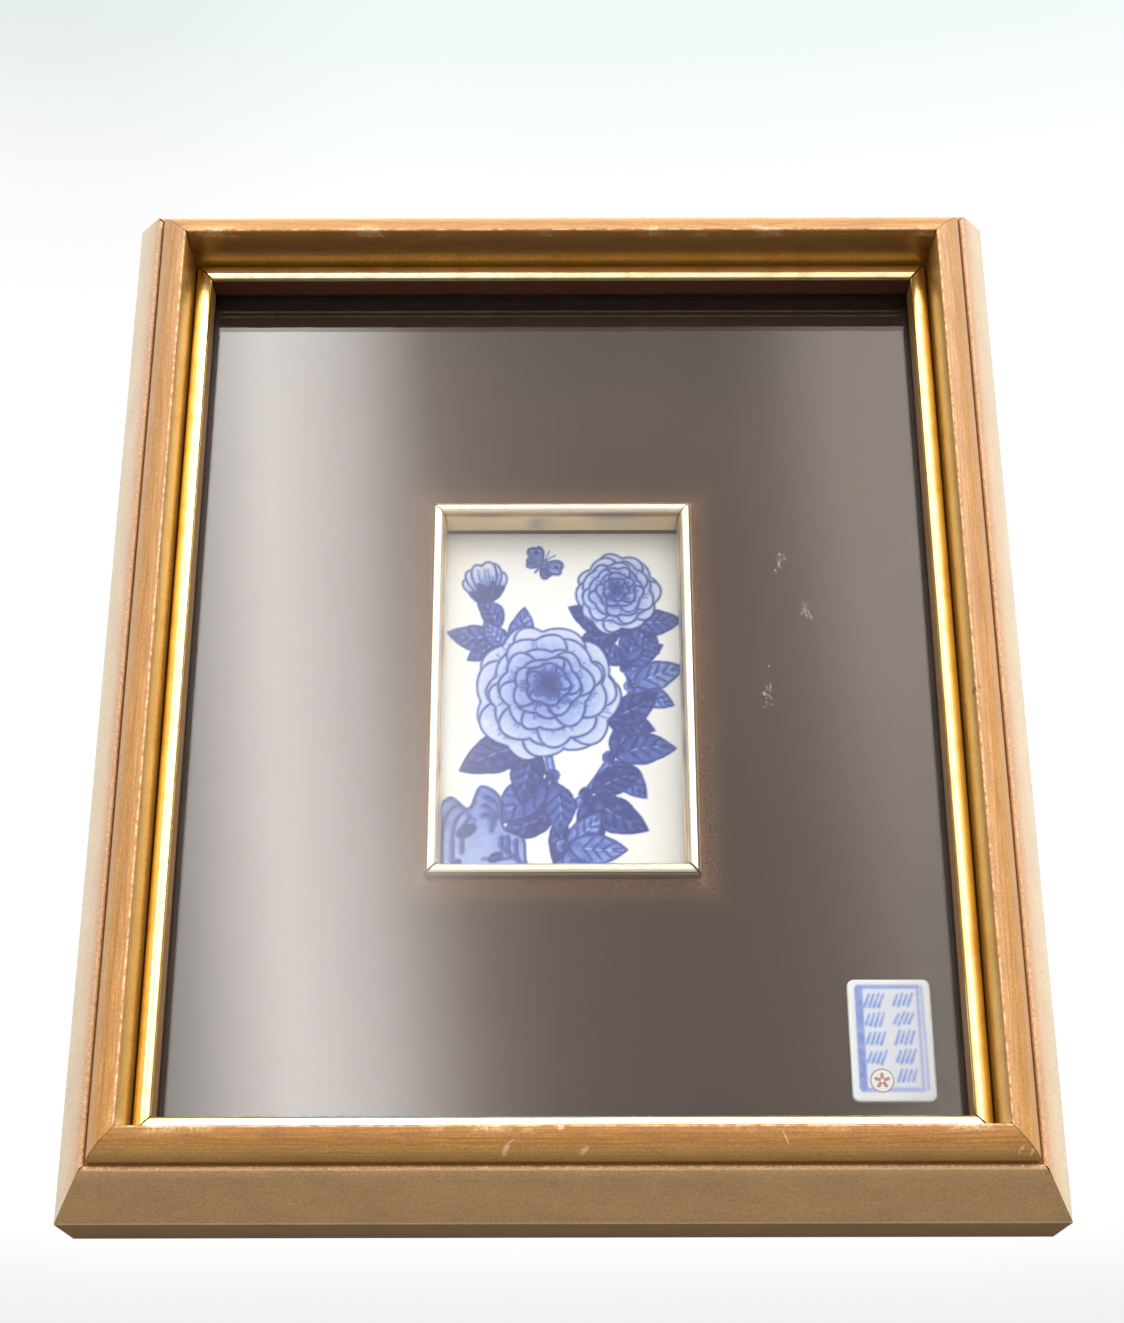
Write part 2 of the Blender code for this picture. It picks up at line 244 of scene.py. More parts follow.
class CardColours(bpy.types.PropertyGroup):
    """Colours of the mat."""

    mat: tint("Mat", "2A1812", "Dark card")
    mat_light: tint("Mat fibres", "40271E", "Raised fibres of the card")
    # Painted light bounced off the gold fillet onto the card
    painted_bounce_light: tint("Halo", "9A6E48", "Warm bloom beside the fillet")
    core: tint("Core", "343230", "Cut edge of the card")


class GlazeColours(bpy.types.PropertyGroup):
    """Colours of the porcelain and its painting."""

    white: tint("Glaze", "FAFCFF", "Cool white glaze of the tile")
    plaque: tint("Plaque glaze", "E8EEF4", "Slightly greyer glaze of the small plaque")
    light: tint("Light cobalt", "9DB6F0", "Thin wash")
    mid: tint("Mid cobalt", "4A6CC8", "Full wash")
    dark: tint("Dark cobalt", "1A388C", "Doubled wash")
    line: tint("Cobalt line", "243F8E", "Drawn lines")
    seal: tint("Roundel red", "A8503C", "Small roundel")


class StudioColours(bpy.types.PropertyGroup):
    """Colours of the studio."""

    floor: tint("Floor", "949492", "Pale floor")
    backdrop: tint("Backdrop", "FFFFFF", "Light behind the panel")
    sky: tint("High backdrop", "ECF7F6", "Faintly cooler top of the backdrop")
    light: tint("Light", "FFF9F4", "Soft light from the front")
    warm: tint("Warm light", "FFEFE4", "Warmer light in the dim part of the front")
    glass: tint("Glass", "FBFDFC", "Clear glass")
    dust: tint("Dust", "E6DED4", "Dust on the glass")


GROUPS = {
    "panel_sizes": PanelSizes,
    "wood_colours": WoodColours,
    "gold_colours": GoldColours,
    "card_colours": CardColours,
    "glaze_colours": GlazeColours,
    "studio_colours": StudioColours,
}


def rgba(colour):
    return (colour[0], colour[1], colour[2], 1.0)


# Materials

def set_inputs(tree, node, inputs):
    """Gives each input of a node its value, or the socket that feeds it."""
    for key, value in inputs.items():
        if isinstance(value, bpy.types.NodeSocket):
            tree.links.new(value, node.inputs[key])
        else:
            node.inputs[key].default_value = value


def add_node(tree, kind, inputs=None, **settings):
    """Adds a shader node with its settings and inputs, and returns its outputs."""
    node = tree.nodes.new("ShaderNode" + kind)
    for name, value in settings.items():
        setattr(node, name, value)
    set_inputs(tree, node, inputs or {})
    return node.outputs


def spread(value, low, high):
    """Inputs of a Map Range node that spreads a noise's middle range between two values."""
    return {"Value": value, "From Min": 0.3, "From Max": 0.7, "To Min": low, "To Max": high}


def new_material(name):
    """A material with its node tree, its shader and Object coordinates in millimetres."""
    material = bpy.data.materials.new(name)
    material.use_nodes = True
    tree = material.node_tree
    place = add_node(tree, "TexCoord")["Object"]
    place = add_node(tree, "VectorMath", {0: place, 3: 1000.0}, operation="SCALE")[0]
    return material, tree, tree.nodes["Principled BSDF"], place


def share_past(tree, amount, steps):
    """The amount where all the steps are past, and 0 where one isn't begun.

    A step is a value, the point where it begins and the point where it is past.
    """
    for value, start, end in steps:
        past = add_node(
            tree, "MapRange", {"Value": value, "From Min": start, "From Max": end},
            interpolation_type="SMOOTHSTEP",
        )[0]
        amount = add_node(tree, "Math", {0: past, 1: amount}, operation="MULTIPLY")[0]
    return amount


def laid_over(tree, ground, *layers):
    """The ground with layers over it: each a colour, its amount and the steps it lies past."""
    for colour, amount, *steps in layers:
        share = share_past(tree, amount, steps)
        mix = {FACTOR: share, FIRST: ground, SECOND: rgba(colour)}
        ground = add_node(tree, "Mix", mix, data_type="RGBA")[MIXED]
    return ground


def shaded(tree, ground, value, darkest, lightest):
    """The ground made darker and lighter as a noise goes through its middle range."""
    shade = add_node(tree, "MapRange", spread(value, darkest, lightest))[0]
    return add_node(tree, "VectorMath", {0: ground, 3: shade}, operation="SCALE")[0]


def fillet_distance(tree, place):
    """Distance in the face's plane from the fillet's outer edge, below 0 inside it."""
    split = add_node(tree, "SeparateXYZ", {0: place})
    gaps = {}
    for index, axis, half in ((0, "X", FILLET_HALF_WIDTH), (1, "Z", FILLET_HALF_HEIGHT)):
        away = add_node(tree, "Math", {0: split[axis]}, operation="ABSOLUTE")[0]
        gaps[index] = add_node(tree, "Math", {0: away, 1: half * 1000}, operation="SUBTRACT")[0]
    return add_node(tree, "Math", gaps, operation="MAXIMUM")[0]


def mark_distance(tree, place, mark):
    """Distance from a mark's centre, 1 on its rim.

    A mark is x, z, half width, half height, and how far it leans to the right as it rises.
    """
    x, z, half_width, half_height, lean = mark
    away = add_node(tree, "VectorMath", {0: place, 1: (x, 0.0, z)}, operation="SUBTRACT")[0]
    x, _, z = add_node(tree, "SeparateXYZ", {0: away})
    aside = add_node(tree, "Math", {0: z, 1: -lean, 2: x}, operation="MULTIPLY_ADD")[0]
    wide = add_node(tree, "Math", {0: aside, 1: half_width}, operation="DIVIDE")[0]
    tall = add_node(tree, "Math", {0: z, 1: half_height}, operation="DIVIDE")[0]
    flat = add_node(tree, "CombineXYZ", {0: wide, 2: tall})[0]
    return add_node(tree, "VectorMath", {0: flat}, operation="LENGTH")[1]


def washed_wood(name, along, half_outline, colours):
    """Limewood moulding, machined, washed and lacquered.

    The eye sees fine fibres and a few dark grain lines along the rail, a paler sandy wash on
    the outer slope, a nose rubbed to copper with dark specks, a stained groove, and a gold
    bronze on the inner side, all under a satin lacquer. Light and shade are painted in as
    well: a painted sheen on the upright rails' slopes, painted shade on the upright side, in
    the groove, on the bottom rail, on the bronze and behind the glass, and painted light on
    the bronze of the right rail.
    """
    material, tree, shader, place = new_material(name)
    lying = along == "X"
    side = "Z" if lying else "X"
    split = add_node(tree, "SeparateXYZ", {0: place})
    across = add_node(tree, "Math", {0: split[side]}, operation="ABSOLUTE")[0]
    inset = add_node(tree, "Math", {0: half_outline * 1000, 1: across}, operation="SUBTRACT")[0]
    height = add_node(tree, "Math", {0: split["Y"], 1: -1.0}, operation="MULTIPLY")[0]

    # Fibres are about 0.3 mm wide and 8 mm long, coarser than real ones so that they show
    run = add_node(tree, "Math", {0: split[along], 1: 0.04}, operation="MULTIPLY")[0]
    drawn = add_node(tree, "CombineXYZ", {0: run, 1: split[side], 2: split["Y"]})[0]
    # Chips and rubbed specks are 0.3 to 1 mm across
    fibre, slow, patch, speck, chip, sand = (
        add_node(tree, "TexNoise", dict(zip(("Vector", "Scale", "Detail", "Roughness"), values)))[0]
        for values in (
            (drawn, 2.2, 4.0, 0.62), (drawn, 0.17, 1.5, 0.4), (place, 0.08, 3.0, 0.5),
            (place, 1.5, 3.0, 0.75), (place, 0.45, 3.0, 0.5), (place, 1.7, 3.0, 0.7),
        )
    )
    # Growth rings: level lines of a slow noise drawn out along the rail, 1 to 4 mm apart
    turns = add_node(tree, "Math", {0: slow, 1: 85.0}, operation="MULTIPLY")[0]
    ring = add_node(tree, "Math", {0: turns}, operation="SINE")[0]
    ring_amount = add_node(tree, "Math", {0: patch, 1: 0.70}, operation="MULTIPLY")[0]

    on_top = (inset, GROOVE_END - 0.2, TOP_FACE_START)
    on_inner = (inset, LIP_START, LIP_START + 0.25)
    nose_end = (inset, 10.15, 9.95)
    on_edge = (
        (inset, INNER_EDGE_START + 0.1, INNER_EDGE_START + 0.5), (inset, LIP_START, LIP_START - 0.3),
        (height, INNER_EDGE_HEIGHT, INNER_EDGE_HEIGHT + 0.3),
    )
    if lying:
        # The top and bottom rails have more stain and painted shade in the groove, and the bottom
        # one is painted a little deeper in tone, a painted shade, with chalky patches of wear along
        # the inner edge
        haze, groove_stain_and_shade, dark_specks, pale_specks = 0.66, 0.90, 0.50, 0.44
        on_nose = ((inset, 8.95, 9.35), nose_end, (height, NOSE_HEIGHT - 0.2, NOSE_HEIGHT + 0.4))
        bottom_rail_painted_shade = (split["Z"], 0.0, -1.0)
        wash = ()
        # Painted shade on the upper part of the bronze, which faces down on the top rail
        bronze_painted_shade_and_light = ((colours.bronze_painted_shade, 0.86, on_inner, (height, 35.5, 40.5)),)
        edge_wear = (
            # Painted shade on the bottom rail's nose and on the inner part of its top face
            (colours.grain_and_painted_shade, 0.22, bottom_rail_painted_shade, (inset, 8.9, 9.3), (inset, 10.3, 9.9)),
            (colours.grain_and_painted_shade, 0.26, bottom_rail_painted_shade, (inset, 12.6, 15.6)),
            (colours.wear_and_painted_light, 0.26, (inset, 15.4, 17.0), (height, 46.0, 46.5), (patch, 0.54, 0.64),
             (speck, 0.36, 0.56)),
        )
    else:
        # On the upright rails the nose is rubbed more softly, down the slope, the outer slope has
        # a paler painted sheen, and the bronze is painted darker at the left and lighter at the
        # right, painted shade and painted light
        haze, groove_stain_and_shade, dark_specks, pale_specks = 0.20, 0.50, 0.48, 0.20
        on_nose = ((inset, 5.6, 8.6), nose_end)
        upper = (height, 36.5, 42.0)
        # Painted sheen: the outer part of the slope is paler
        wash = ((colours.slope_painted_sheen, 1.0, (inset, 7.0, 1.0), (sand, 0.30, 0.56)),)
        bronze_painted_shade_and_light = (
            (colours.bronze_painted_shade, 0.26, on_inner, upper, (split["X"], 0.0, -1.0)),
            (colours.wear_and_painted_light, 0.22, on_inner, upper, (split["X"], 0.0, 1.0)),
        )
        edge_wear = ()
    ground = laid_over(
        tree, rgba(colours.pale), *wash,
        # Grain of the top face, under a haze of wash on its outer part
        (colours.mid, 1.0, on_top),
        (colours.grain_and_painted_shade, 0.10, (fibre, 0.42, 0.66)),
        (colours.grain_and_painted_shade, 0.24, on_top, (fibre, 0.44, 0.66)),
        (colours.bright, 0.36, on_top, (fibre, 0.50, 0.30)),
        (colours.grain_and_painted_shade, ring_amount, (inset, 11.4, 14.2), (ring, 0.45, 0.98)),
        (colours.haze, haze, on_top, (inset, 14.5, 12.0)),
        # The upright side is painted darker, a painted shade, and darker still towards its foot,
        # more painted shade
        (colours.side, 0.62, (height, WIDEST_HEIGHT + 0.3, WIDEST_HEIGHT - 1.2)),
        (colours.grain_and_painted_shade, 0.35, (height, 12.0, 0.0)),
        (colours.wear_and_painted_light, 0.50, (height, 21.5, 22.1), (height, 23.2, 22.7)),
        # Gold bronze on the inner side, painted darker down towards the glass as painted shade
        (colours.inner, 1.0, on_inner),
        (colours.grain_and_painted_shade, 0.22, on_inner, (fibre, 0.46, 0.62)),
        (colours.grain_and_painted_shade, 0.22, on_inner, (height, 40.0, 32.0)),
        *bronze_painted_shade_and_light,
        # Painted shade: the wood behind the glass is nearly black
        (colours.rebate_painted_shade, 0.95, on_inner, (height, 25.5, 25.2)),
        # The nose is rubbed to a copper tone, with dark and bright specks
        (colours.copper, 0.76, *on_nose),
        (colours.grain_and_painted_shade, dark_specks, *on_nose, (speck, 0.53, 0.62)),
        (colours.wear_and_painted_light, pale_specks, *on_nose, (speck, 0.45, 0.37)),
        # Rubbed inner edge, a thin and broken pale line
        (colours.wear_and_painted_light, 0.38, *on_edge, (chip, 0.60, 0.40)),
        *edge_wear,
        # Stain that has settled in the groove and spread a little on the top face, with painted
        # shade in it that is darker on the top and bottom rails
        (colours.groove, 0.14, (inset, 10.15, 10.55), (inset, 11.6, 10.75)),
        (colours.groove, groove_stain_and_shade, (inset, 9.95, 10.2), (inset, 10.8, 10.5)),
    )
    ground = shaded(tree, ground, patch, 0.93, 1.06)
    ground = shaded(tree, ground, sand, 0.76, 1.24)
    for mark in SCUFFS if lying else DARK_MARKS:
        away = mark_distance(tree, place, mark)
        if lying:
            layer = (colours.scuff, 0.50, (away, 1.3, 0.3), (sand, 0.34, 0.50), (height, 40.0, 41.0))
        else:
            layer = (colours.nick, 1.0, (away, 1.1, 0.8), (height, 45.0, 46.0))
        ground = laid_over(tree, ground, layer)

    bronze = share_past(tree, 0.85, (on_inner, (height, 29.0, 37.0)))
    # The bronze is a little glossier than the wood, and has none of its thin lacquer
    gloss = add_node(tree, "MapRange", spread(speck, 0.42, 0.56))[0]
    gloss = add_node(tree, "Math", {0: bronze, 1: -0.26, 2: gloss}, operation="MULTIPLY_ADD")[0]
    film = add_node(
        tree, "Math", {0: bronze, 1: -0.23, 2: 0.20}, operation="MULTIPLY_ADD", use_clamp=True
    )[0]
    relief = add_node(tree, "Math", {0: fibre, 1: sand}, operation="ADD")[0]
    bump = add_node(tree, "Bump", {"Height": relief, "Strength": 0.5, "Distance": 0.00007})[0]
    set_inputs(tree, shader, {
        "Base Color": ground, "Metallic": bronze, "Roughness": gloss, "Normal": bump,
        "Coat Weight": film, "Coat Roughness": 0.30, "IOR": 1.5,
    })
    return material


def slip_gold(name, along, gold, foot, colours):
    """Gold foil, hot stamped on a wooden strip.

    It mirrors the light in one long soft highlight, with faint marks of the roller along it
    and a deeper amber in its thin patches. Its sides are painted dark, a painted shade and
    dark reflection, with a painted shadow along the glass, and the gold given to the top and
    bottom slips is paler, a painted highlight.
    """
    material, tree, shader, place = new_material(name)
    split = add_node(tree, "SeparateXYZ", {0: place})
    side = "Z" if along == "X" else "X"
    height = add_node(tree, "Math", {0: split["Y"], 1: -1.0}, operation="MULTIPLY")[0]
    # Roller marks are 0.3 mm wide and 15 mm long
    run = add_node(tree, "Math", {0: split[along], 1: 0.02}, operation="MULTIPLY")[0]
    drawn = add_node(tree, "CombineXYZ", {0: run, 1: split[side], 2: split["Y"]})[0]
    streak = add_node(tree, "TexNoise", {"Vector": drawn, "Scale": 3.0, "Detail": 2.0})[0]
    patch = add_node(tree, "TexNoise", {"Vector": place, "Scale": 0.20, "Detail": 4.0})[0]
    # The foil ends on the bead: the upright sides of the strip are painted dark as painted
    # shade and dark reflection, with a painted shadow line at the glass
    foil = share_past(tree, 1.0, ((height, 32.3, 32.9),))
    ground = laid_over(
        tree, rgba(gold),
        (colours.slip_amber, 0.35, (patch, 0.45, 0.70)),
        (foot, 1.0, (foil, 1.0, 0.0)),
        (colours.slip_painted_shadow, 0.97, (height, 26.4, 26.0)),
    )
    gloss = add_node(tree, "MapRange", spread(streak, 0.15, 0.24))[0]
    gloss = add_node(tree, "Mix", {0: foil, 2: 0.55, 3: gloss}, data_type="FLOAT")[0]
    bump = add_node(tree, "Bump", {"Height": streak, "Strength": 0.15, "Distance": 0.00002})[0]
    set_inputs(
        tree, shader, {"Base Color": ground, "Metallic": foil, "Roughness": gloss, "Normal": bump}
    )
    return material


def fillet_gold(colours):
    """Champagne gold foil, stamped over gesso on a slim wooden fillet.

    It is nearly white where it faces the light, with a fine sparkle, thin brown lines where
    the foil has rubbed off its edges, and a duller tan on the side of the opening.
    """
    material, tree, shader, place = new_material("champagne_gold_foil")
    depth = add_node(tree, "SeparateXYZ", {0: place})["Y"]
    height = add_node(tree, "Math", {0: depth, 1: -1.0}, operation="MULTIPLY")[0]
    away = fillet_distance(tree, place)
    grit = add_node(
        tree, "TexNoise", {"Vector": place, "Scale": 3.4, "Detail": 2.0, "Roughness": 0.7}
    )[0]
    patch = add_node(tree, "TexNoise", {"Vector": place, "Scale": 0.30, "Detail": 3.0})[0]
    opening = -FILLET_BAR * 1000
    ground = laid_over(
        tree, rgba(colours.fillet),
        (colours.fillet_tan, 0.25, (patch, 0.50, 0.72)),
        (colours.fillet_tan, 0.85, (away, opening + 0.9, opening + 0.4)),
        # Rubbed outer and inner edges, about 0.3 mm wide
        (colours.fillet_brown, 0.9, (away, -0.58, -0.34)),
        (colours.fillet_amber, 0.85, (away, opening + 0.85, opening + 0.65), (height, 18.3, 18.8)),
    )
    gloss = add_node(tree, "MapRange", spread(grit, 0.34, 0.52))[0]
    bump = add_node(tree, "Bump", {"Height": grit, "Strength": 0.5, "Distance": 0.00005})[0]
    set_inputs(
        tree, shader, {"Base Color": ground, "Roughness": gloss, "Normal": bump, "Metallic": 1.0}
    )
    return material


def dark_card(colours):
    """Solid-dyed card, pressed with a fine tooth.

    It is matt and nearly black-brown, with pale fibres, a warm brown glow beside the gold
    fillet, which is painted light bounced off the gold, and a grey cut edge round the window.
    """
    material, tree, shader, place = new_material("dyed_mat_card")
    tooth = add_node(
        tree, "TexNoise", {"Vector": place, "Scale": 2.2, "Detail": 4.0, "Roughness": 0.7}
    )[0]
    cloud = add_node(tree, "TexNoise", {"Vector": place, "Scale": 0.03, "Detail": 2.0})[0]
    depth = add_node(tree, "SeparateXYZ", {0: place})["Y"]
    away = fillet_distance(tree, place)
    cut = MAT_FACE * 1000
    ground = laid_over(
        tree, rgba(colours.mat),
        (colours.mat_light, 1.0, (tooth, 0.44, 0.66)),
        # The painted bounce light fades over 9 mm, with a denser fringe of 2 mm against the gold
        (colours.painted_bounce_light, 0.62, (away, 9.0, 0.0), (tooth, 0.40, 0.58)),
        (colours.painted_bounce_light, 0.80, (away, 2.6, 0.2), (tooth, 0.36, 0.54)),
        (colours.core, 1.0, (depth, cut + 4.0, cut + 5.0)),
    )
    ground = shaded(tree, ground, cloud, 0.88, 1.12)
    bump = add_node(tree, "Bump", {"Height": tooth, "Strength": 0.5, "Distance": 0.00006})[0]
    set_inputs(
        tree, shader, {"Base Color": ground, "Normal": bump, "Roughness": 0.88, "IOR": 1.45}
    )
    return material


def glazed_porcelain(name, white, colours):
    """Porcelain, painted in cobalt under a clear fired glaze.

    The painted lines and washes bleed a little into the glaze, the cobalt pools in darker
    grains, and the surface is smooth and glossy with a faint ripple. The tones come from the
    attributes that the painting left on the mesh, lines and seal as distances in millimetres.
    """
    material, tree, shader, place = new_material(name)
    wash, line, seal = (
        add_node(tree, "Attribute", attribute_name=key)["Fac"] for key in ("wash", "line", "seal")
    )
    # The wash gathers and thins over about 2 mm, as a brush leaves it
    pool = add_node(
        tree, "TexNoise", {"Vector": place, "Scale": 0.55, "Detail": 4.0, "Roughness": 0.6}
    )[0]
    grain = add_node(tree, "TexNoise", {"Vector": place, "Scale": 2.6, "Detail": 2.0})[0]
    ripple = add_node(tree, "TexNoise", {"Vector": place, "Scale": 0.12, "Detail": 1.0})[0]
    uneven = add_node(tree, "MapRange", spread(pool, 0.78, 1.18))[0]
    load = add_node(tree, "MapRange", spread(pool, 0.66, 0.98))[0]
    # Cobalt bleeds about 0.4 mm out of a line
    bleed = share_past(tree, 0.22, ((line, 0.55, 0.0),))
    tone = add_node(tree, "Math", {0: wash, 1: uneven}, operation="MULTIPLY")[0]
    tone = add_node(tree, "Math", {0: tone, 1: bleed}, operation="ADD")[0]
    washed = add_node(tree, "ValToRGB", {0: tone})[0]
    stops = washed.node.color_ramp.elements
    stops[0].color = rgba(white)
    stops[1].color = rgba(colours.dark)
    stops.new(0.30).color = rgba(colours.light)
    stops.new(0.62).color = rgba(colours.mid)
    wobble = add_node(tree, "Math", {0: grain, 1: 0.22, 2: -0.11}, operation="MULTIPLY_ADD")[0]
    drawn = add_node(tree, "Math", {0: line, 1: wobble}, operation="ADD")[0]
    ground = laid_over(
        tree, washed,
        (colours.line, load, (drawn, 0.14, -0.10)),
        (colours.seal, 0.9, (seal, 0.14, -0.08)),
    )
    bump = add_node(tree, "Bump", {"Height": ripple, "Strength": 0.3, "Distance": 0.00008})[0]
    set_inputs(
        tree, shader, {"Base Color": ground, "Normal": bump, "Roughness": 0.12, "IOR": 1.5}
    )
    return material


def window_glass(colours):
    """Drawn sheet glass, clear and smooth: it shows what is behind it under soft reflections."""
    material = bpy.data.materials.new("drawn_window_glass")
    material.use_nodes = True
    tree = material.node_tree
    set_inputs(tree, tree.nodes["Principled BSDF"], {
        "Base Color": rgba(colours.glass), "Roughness": 0.0, "IOR": 1.5, "Transmission Weight": 1.0,
    })
    return material


def settled_dust(colours):
    """Dust and dried smears on the glass: pale, matt and thin enough to see through."""
    material, tree, shader, place = new_material("settled_dust")
    tone = add_node(tree, "TexNoise", {"Vector": place, "Scale": 1.6, "Detail": 2.0})[0]
    ground = shaded(tree, tuple(colours.dust), tone, 0.6, 1.05)
    set_inputs(tree, shader, {"Base Color": ground, "Roughness": 0.9, "Alpha": 0.16})
    return material


def pressed_board(colours):
    """Hardboard, pressed from wood fibre: smooth, brown and flecked with pale fibres."""
    material, tree, shader, place = new_material("pressed_fibre_board")
    fleck = add_node(
        tree, "TexVoronoi", {"Vector": place, "Scale": 0.5}, feature="DISTANCE_TO_EDGE"
    )[0]
    fibre = add_node(
        tree, "TexNoise",
        {"Vector": place, "Scale": 1.4, "Detail": 5.0, "Roughness": 0.7, "Distortion": 1.5},
    )[0]
    cloud = add_node(tree, "TexNoise", {"Vector": place, "Scale": 0.02, "Detail": 3.0})[0]
    ground = laid_over(tree, rgba(colours.board), (colours.board_fibre, 1.0, (fibre, 0.50, 0.72)))
    ground = shaded(tree, ground, cloud, 0.82, 1.12)
    relief = add_node(tree, "Math", {0: fibre, 1: fleck}, operation="ADD")[0]
    bump = add_node(tree, "Bump", {"Height": relief, "Strength": 0.4, "Distance": 0.0001})[0]
    set_inputs(tree, shader, {"Base Color": ground, "Normal": bump, "Roughness": 0.7})
    return material


def floor_paint(colours):
    """Matt emulsion on a studio floor, with a faint unevenness from the roller."""
    material, tree, shader, place = new_material("matt_painted_floor")
    cloud = add_node(tree, "TexNoise", {"Vector": place, "Scale": 0.004, "Detail": 3.0})[0]
    ground = shaded(tree, tuple(colours.floor), cloud, 0.97, 1.03)
    set_inputs(tree, shader, {"Base Color": ground, "Roughness": 0.9})
    return material


# Modelling

def select_only(piece):
    """Leaves the piece as the only selected and active object."""
    bpy.ops.object.select_all(action="DESELECT")
    piece.select_set(True)
    bpy.context.view_layer.objects.active = piece


def select_where(piece, kind, test):
    """In edit mode, selects only the faces or edges for which the test says yes."""
    bpy.context.tool_settings.mesh_select_mode = (False, kind == "edges", kind == "faces")
    bm = bmesh.from_edit_mesh(piece.data)
    for item in [*bm.verts, *bm.edges, *bm.faces]:
        item.select_set(False)
    chosen = [item for item in getattr(bm, kind) if test(item)]
    for item in chosen:
        item.select_set(True)
    bmesh.update_edit_mesh(piece.data)
    return len(chosen)


def merged_copy(node, name):
    """A copy of a node's mesh with its loose triangles merged into whole faces, in edit mode."""
    piece = bpy.data.objects.new(name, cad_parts[node].data.copy())
    bpy.context.scene.collection.objects.link(piece)
    select_only(piece)
    bpy.ops.mesh.customdata_custom_splitnormals_clear()
    bpy.ops.object.mode_set(mode="EDIT")
    bpy.ops.mesh.select_all(action="SELECT")
    bpy.ops.mesh.remove_doubles(threshold=MERGE_DISTANCE)
    bpy.ops.mesh.dissolve_limited(angle_limit=FLAT_ANGLE)
    return piece


def finish_piece(piece, material, node):
    """Shades the piece, gives it its material and puts it in its node's place."""
    if piece.mode == "EDIT":
        bpy.ops.object.mode_set(mode="OBJECT")
    select_only(piece)
    bpy.ops.object.shade_smooth_by_angle(angle=SMOOTH_ANGLE)
    piece.data.materials.clear()
    piece.data.materials.append(material)
    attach(piece, "root")
    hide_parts(node)


def strip_axis(side):
    """Axis along a side of the frame, 0 for X and 2 for Z."""
    return 0 if side in ("top", "bottom") else 2


def cut_along(piece, node, side, step):
    """Cuts a strip into short lengths, so that it can carry wear."""
    axis = strip_axis(side)

    def is_lengthwise(edge):
        run = edge.verts[1].co - edge.verts[0].co
        return run.length > LONG_EDGE and abs(run[axis]) > run.length * STRAIGHT

    if not select_where(piece, "edges", is_lengthwise):
        raise RuntimeError("no lengthwise edges on " + piece.name)
    low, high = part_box(node)
    lengths = round((high - low)[axis] / step / CUTS_ACROSS)
    bpy.ops.mesh.subdivide(number_cuts=lengths - 1, smoothness=0.0)
    # The new edges across the strip are selected too, so this cuts it both ways
    bpy.ops.mesh.subdivide(number_cuts=CUTS_ACROSS - 1, smoothness=0.0)


class RailPlace:
    """Where a point of a rail lies on its section: its inset, height and way along, in metres."""

    def __init__(self, side):
        self.axis = strip_axis(side)
        self.across = 2 - self.axis
        halves = (HALF_WIDTH, 0.0, HALF_HEIGHT)
        self.half = halves[self.across]
        self.reach = halves[self.axis]

    def of(self, point):
        return self.half - abs(point[self.across]), -point.y, point[self.axis]


def bump_value(value, start, end):
    """A smooth hump: 0 outside the span, 1 at its middle."""
    if not start < value < end:
        return 0.0
    return 0.5 - 0.5 * math.cos(2 * math.pi * (value - start) / (end - start))


def wear_rail(piece, rail, sizes):
    """Rubs the nose and the inner edge of a rail, with small chips along them."""
    normals = [Vector(normal.vector) for normal in piece.data.vertex_normals]
    for vertex, normal in zip(piece.data.vertices, normals):
        inset, height, _ = rail.of(vertex.co)
        nose = bump_value(inset * 1000, NOSE_START, NOSE_END) * (height * 1000 > NOSE_HEIGHT)
        edge = bump_value(inset * 1000, INNER_EDGE_START, INNER_EDGE_END)
        edge *= height * 1000 > INNER_EDGE_HEIGHT
        if nose == 0.0 and edge == 0.0:
            continue
        fine = noise.noise(vertex.co * 900.0)
        chip = max(0.0, noise.noise(vertex.co * 350.0 + Vector((3.1, 0.0, 7.7))) - 0.15)
        depth = nose * sizes.nose_wear * (0.35 + 0.35 * fine + 1.6 * chip)
        depth += edge * sizes.edge_wear * (0.35 + 0.35 * fine + 1.2 * chip)
        vertex.co -= normal * max(depth, 0.0)


def nick_rail(piece, rail):
    """Presses one small nick into the inner edge of a rail."""
    for vertex in piece.data.vertices:
        inset, height, along = rail.of(vertex.co)
        share = 1.0 - abs(along - NICK_PLACE) / NICK_REACH
        on_edge = height * 1000 >= INNER_EDGE_HEIGHT and NICK_INSETS[0] < inset < NICK_INSETS[1]
        if on_edge and share > 0.0:
            vertex.co.y += NICK_DEPTH * share


def close_mitres(piece, rail):
    """Brings the ends of a rail up to its neighbours, leaving a hair's breadth at the joint."""
    for vertex in piece.data.vertices:
        inset, _, along = rail.of(vertex.co)
        if rail.reach - inset - abs(along) < MITRE_REACH:
            push = MITRE_PUSH if inset < MITRE_INSIDE_START else MITRE_PUSH_INSIDE
            vertex.co[rail.axis] += math.copysign(push, along)


# Painting in cobalt, in millimetres on the face of a plate

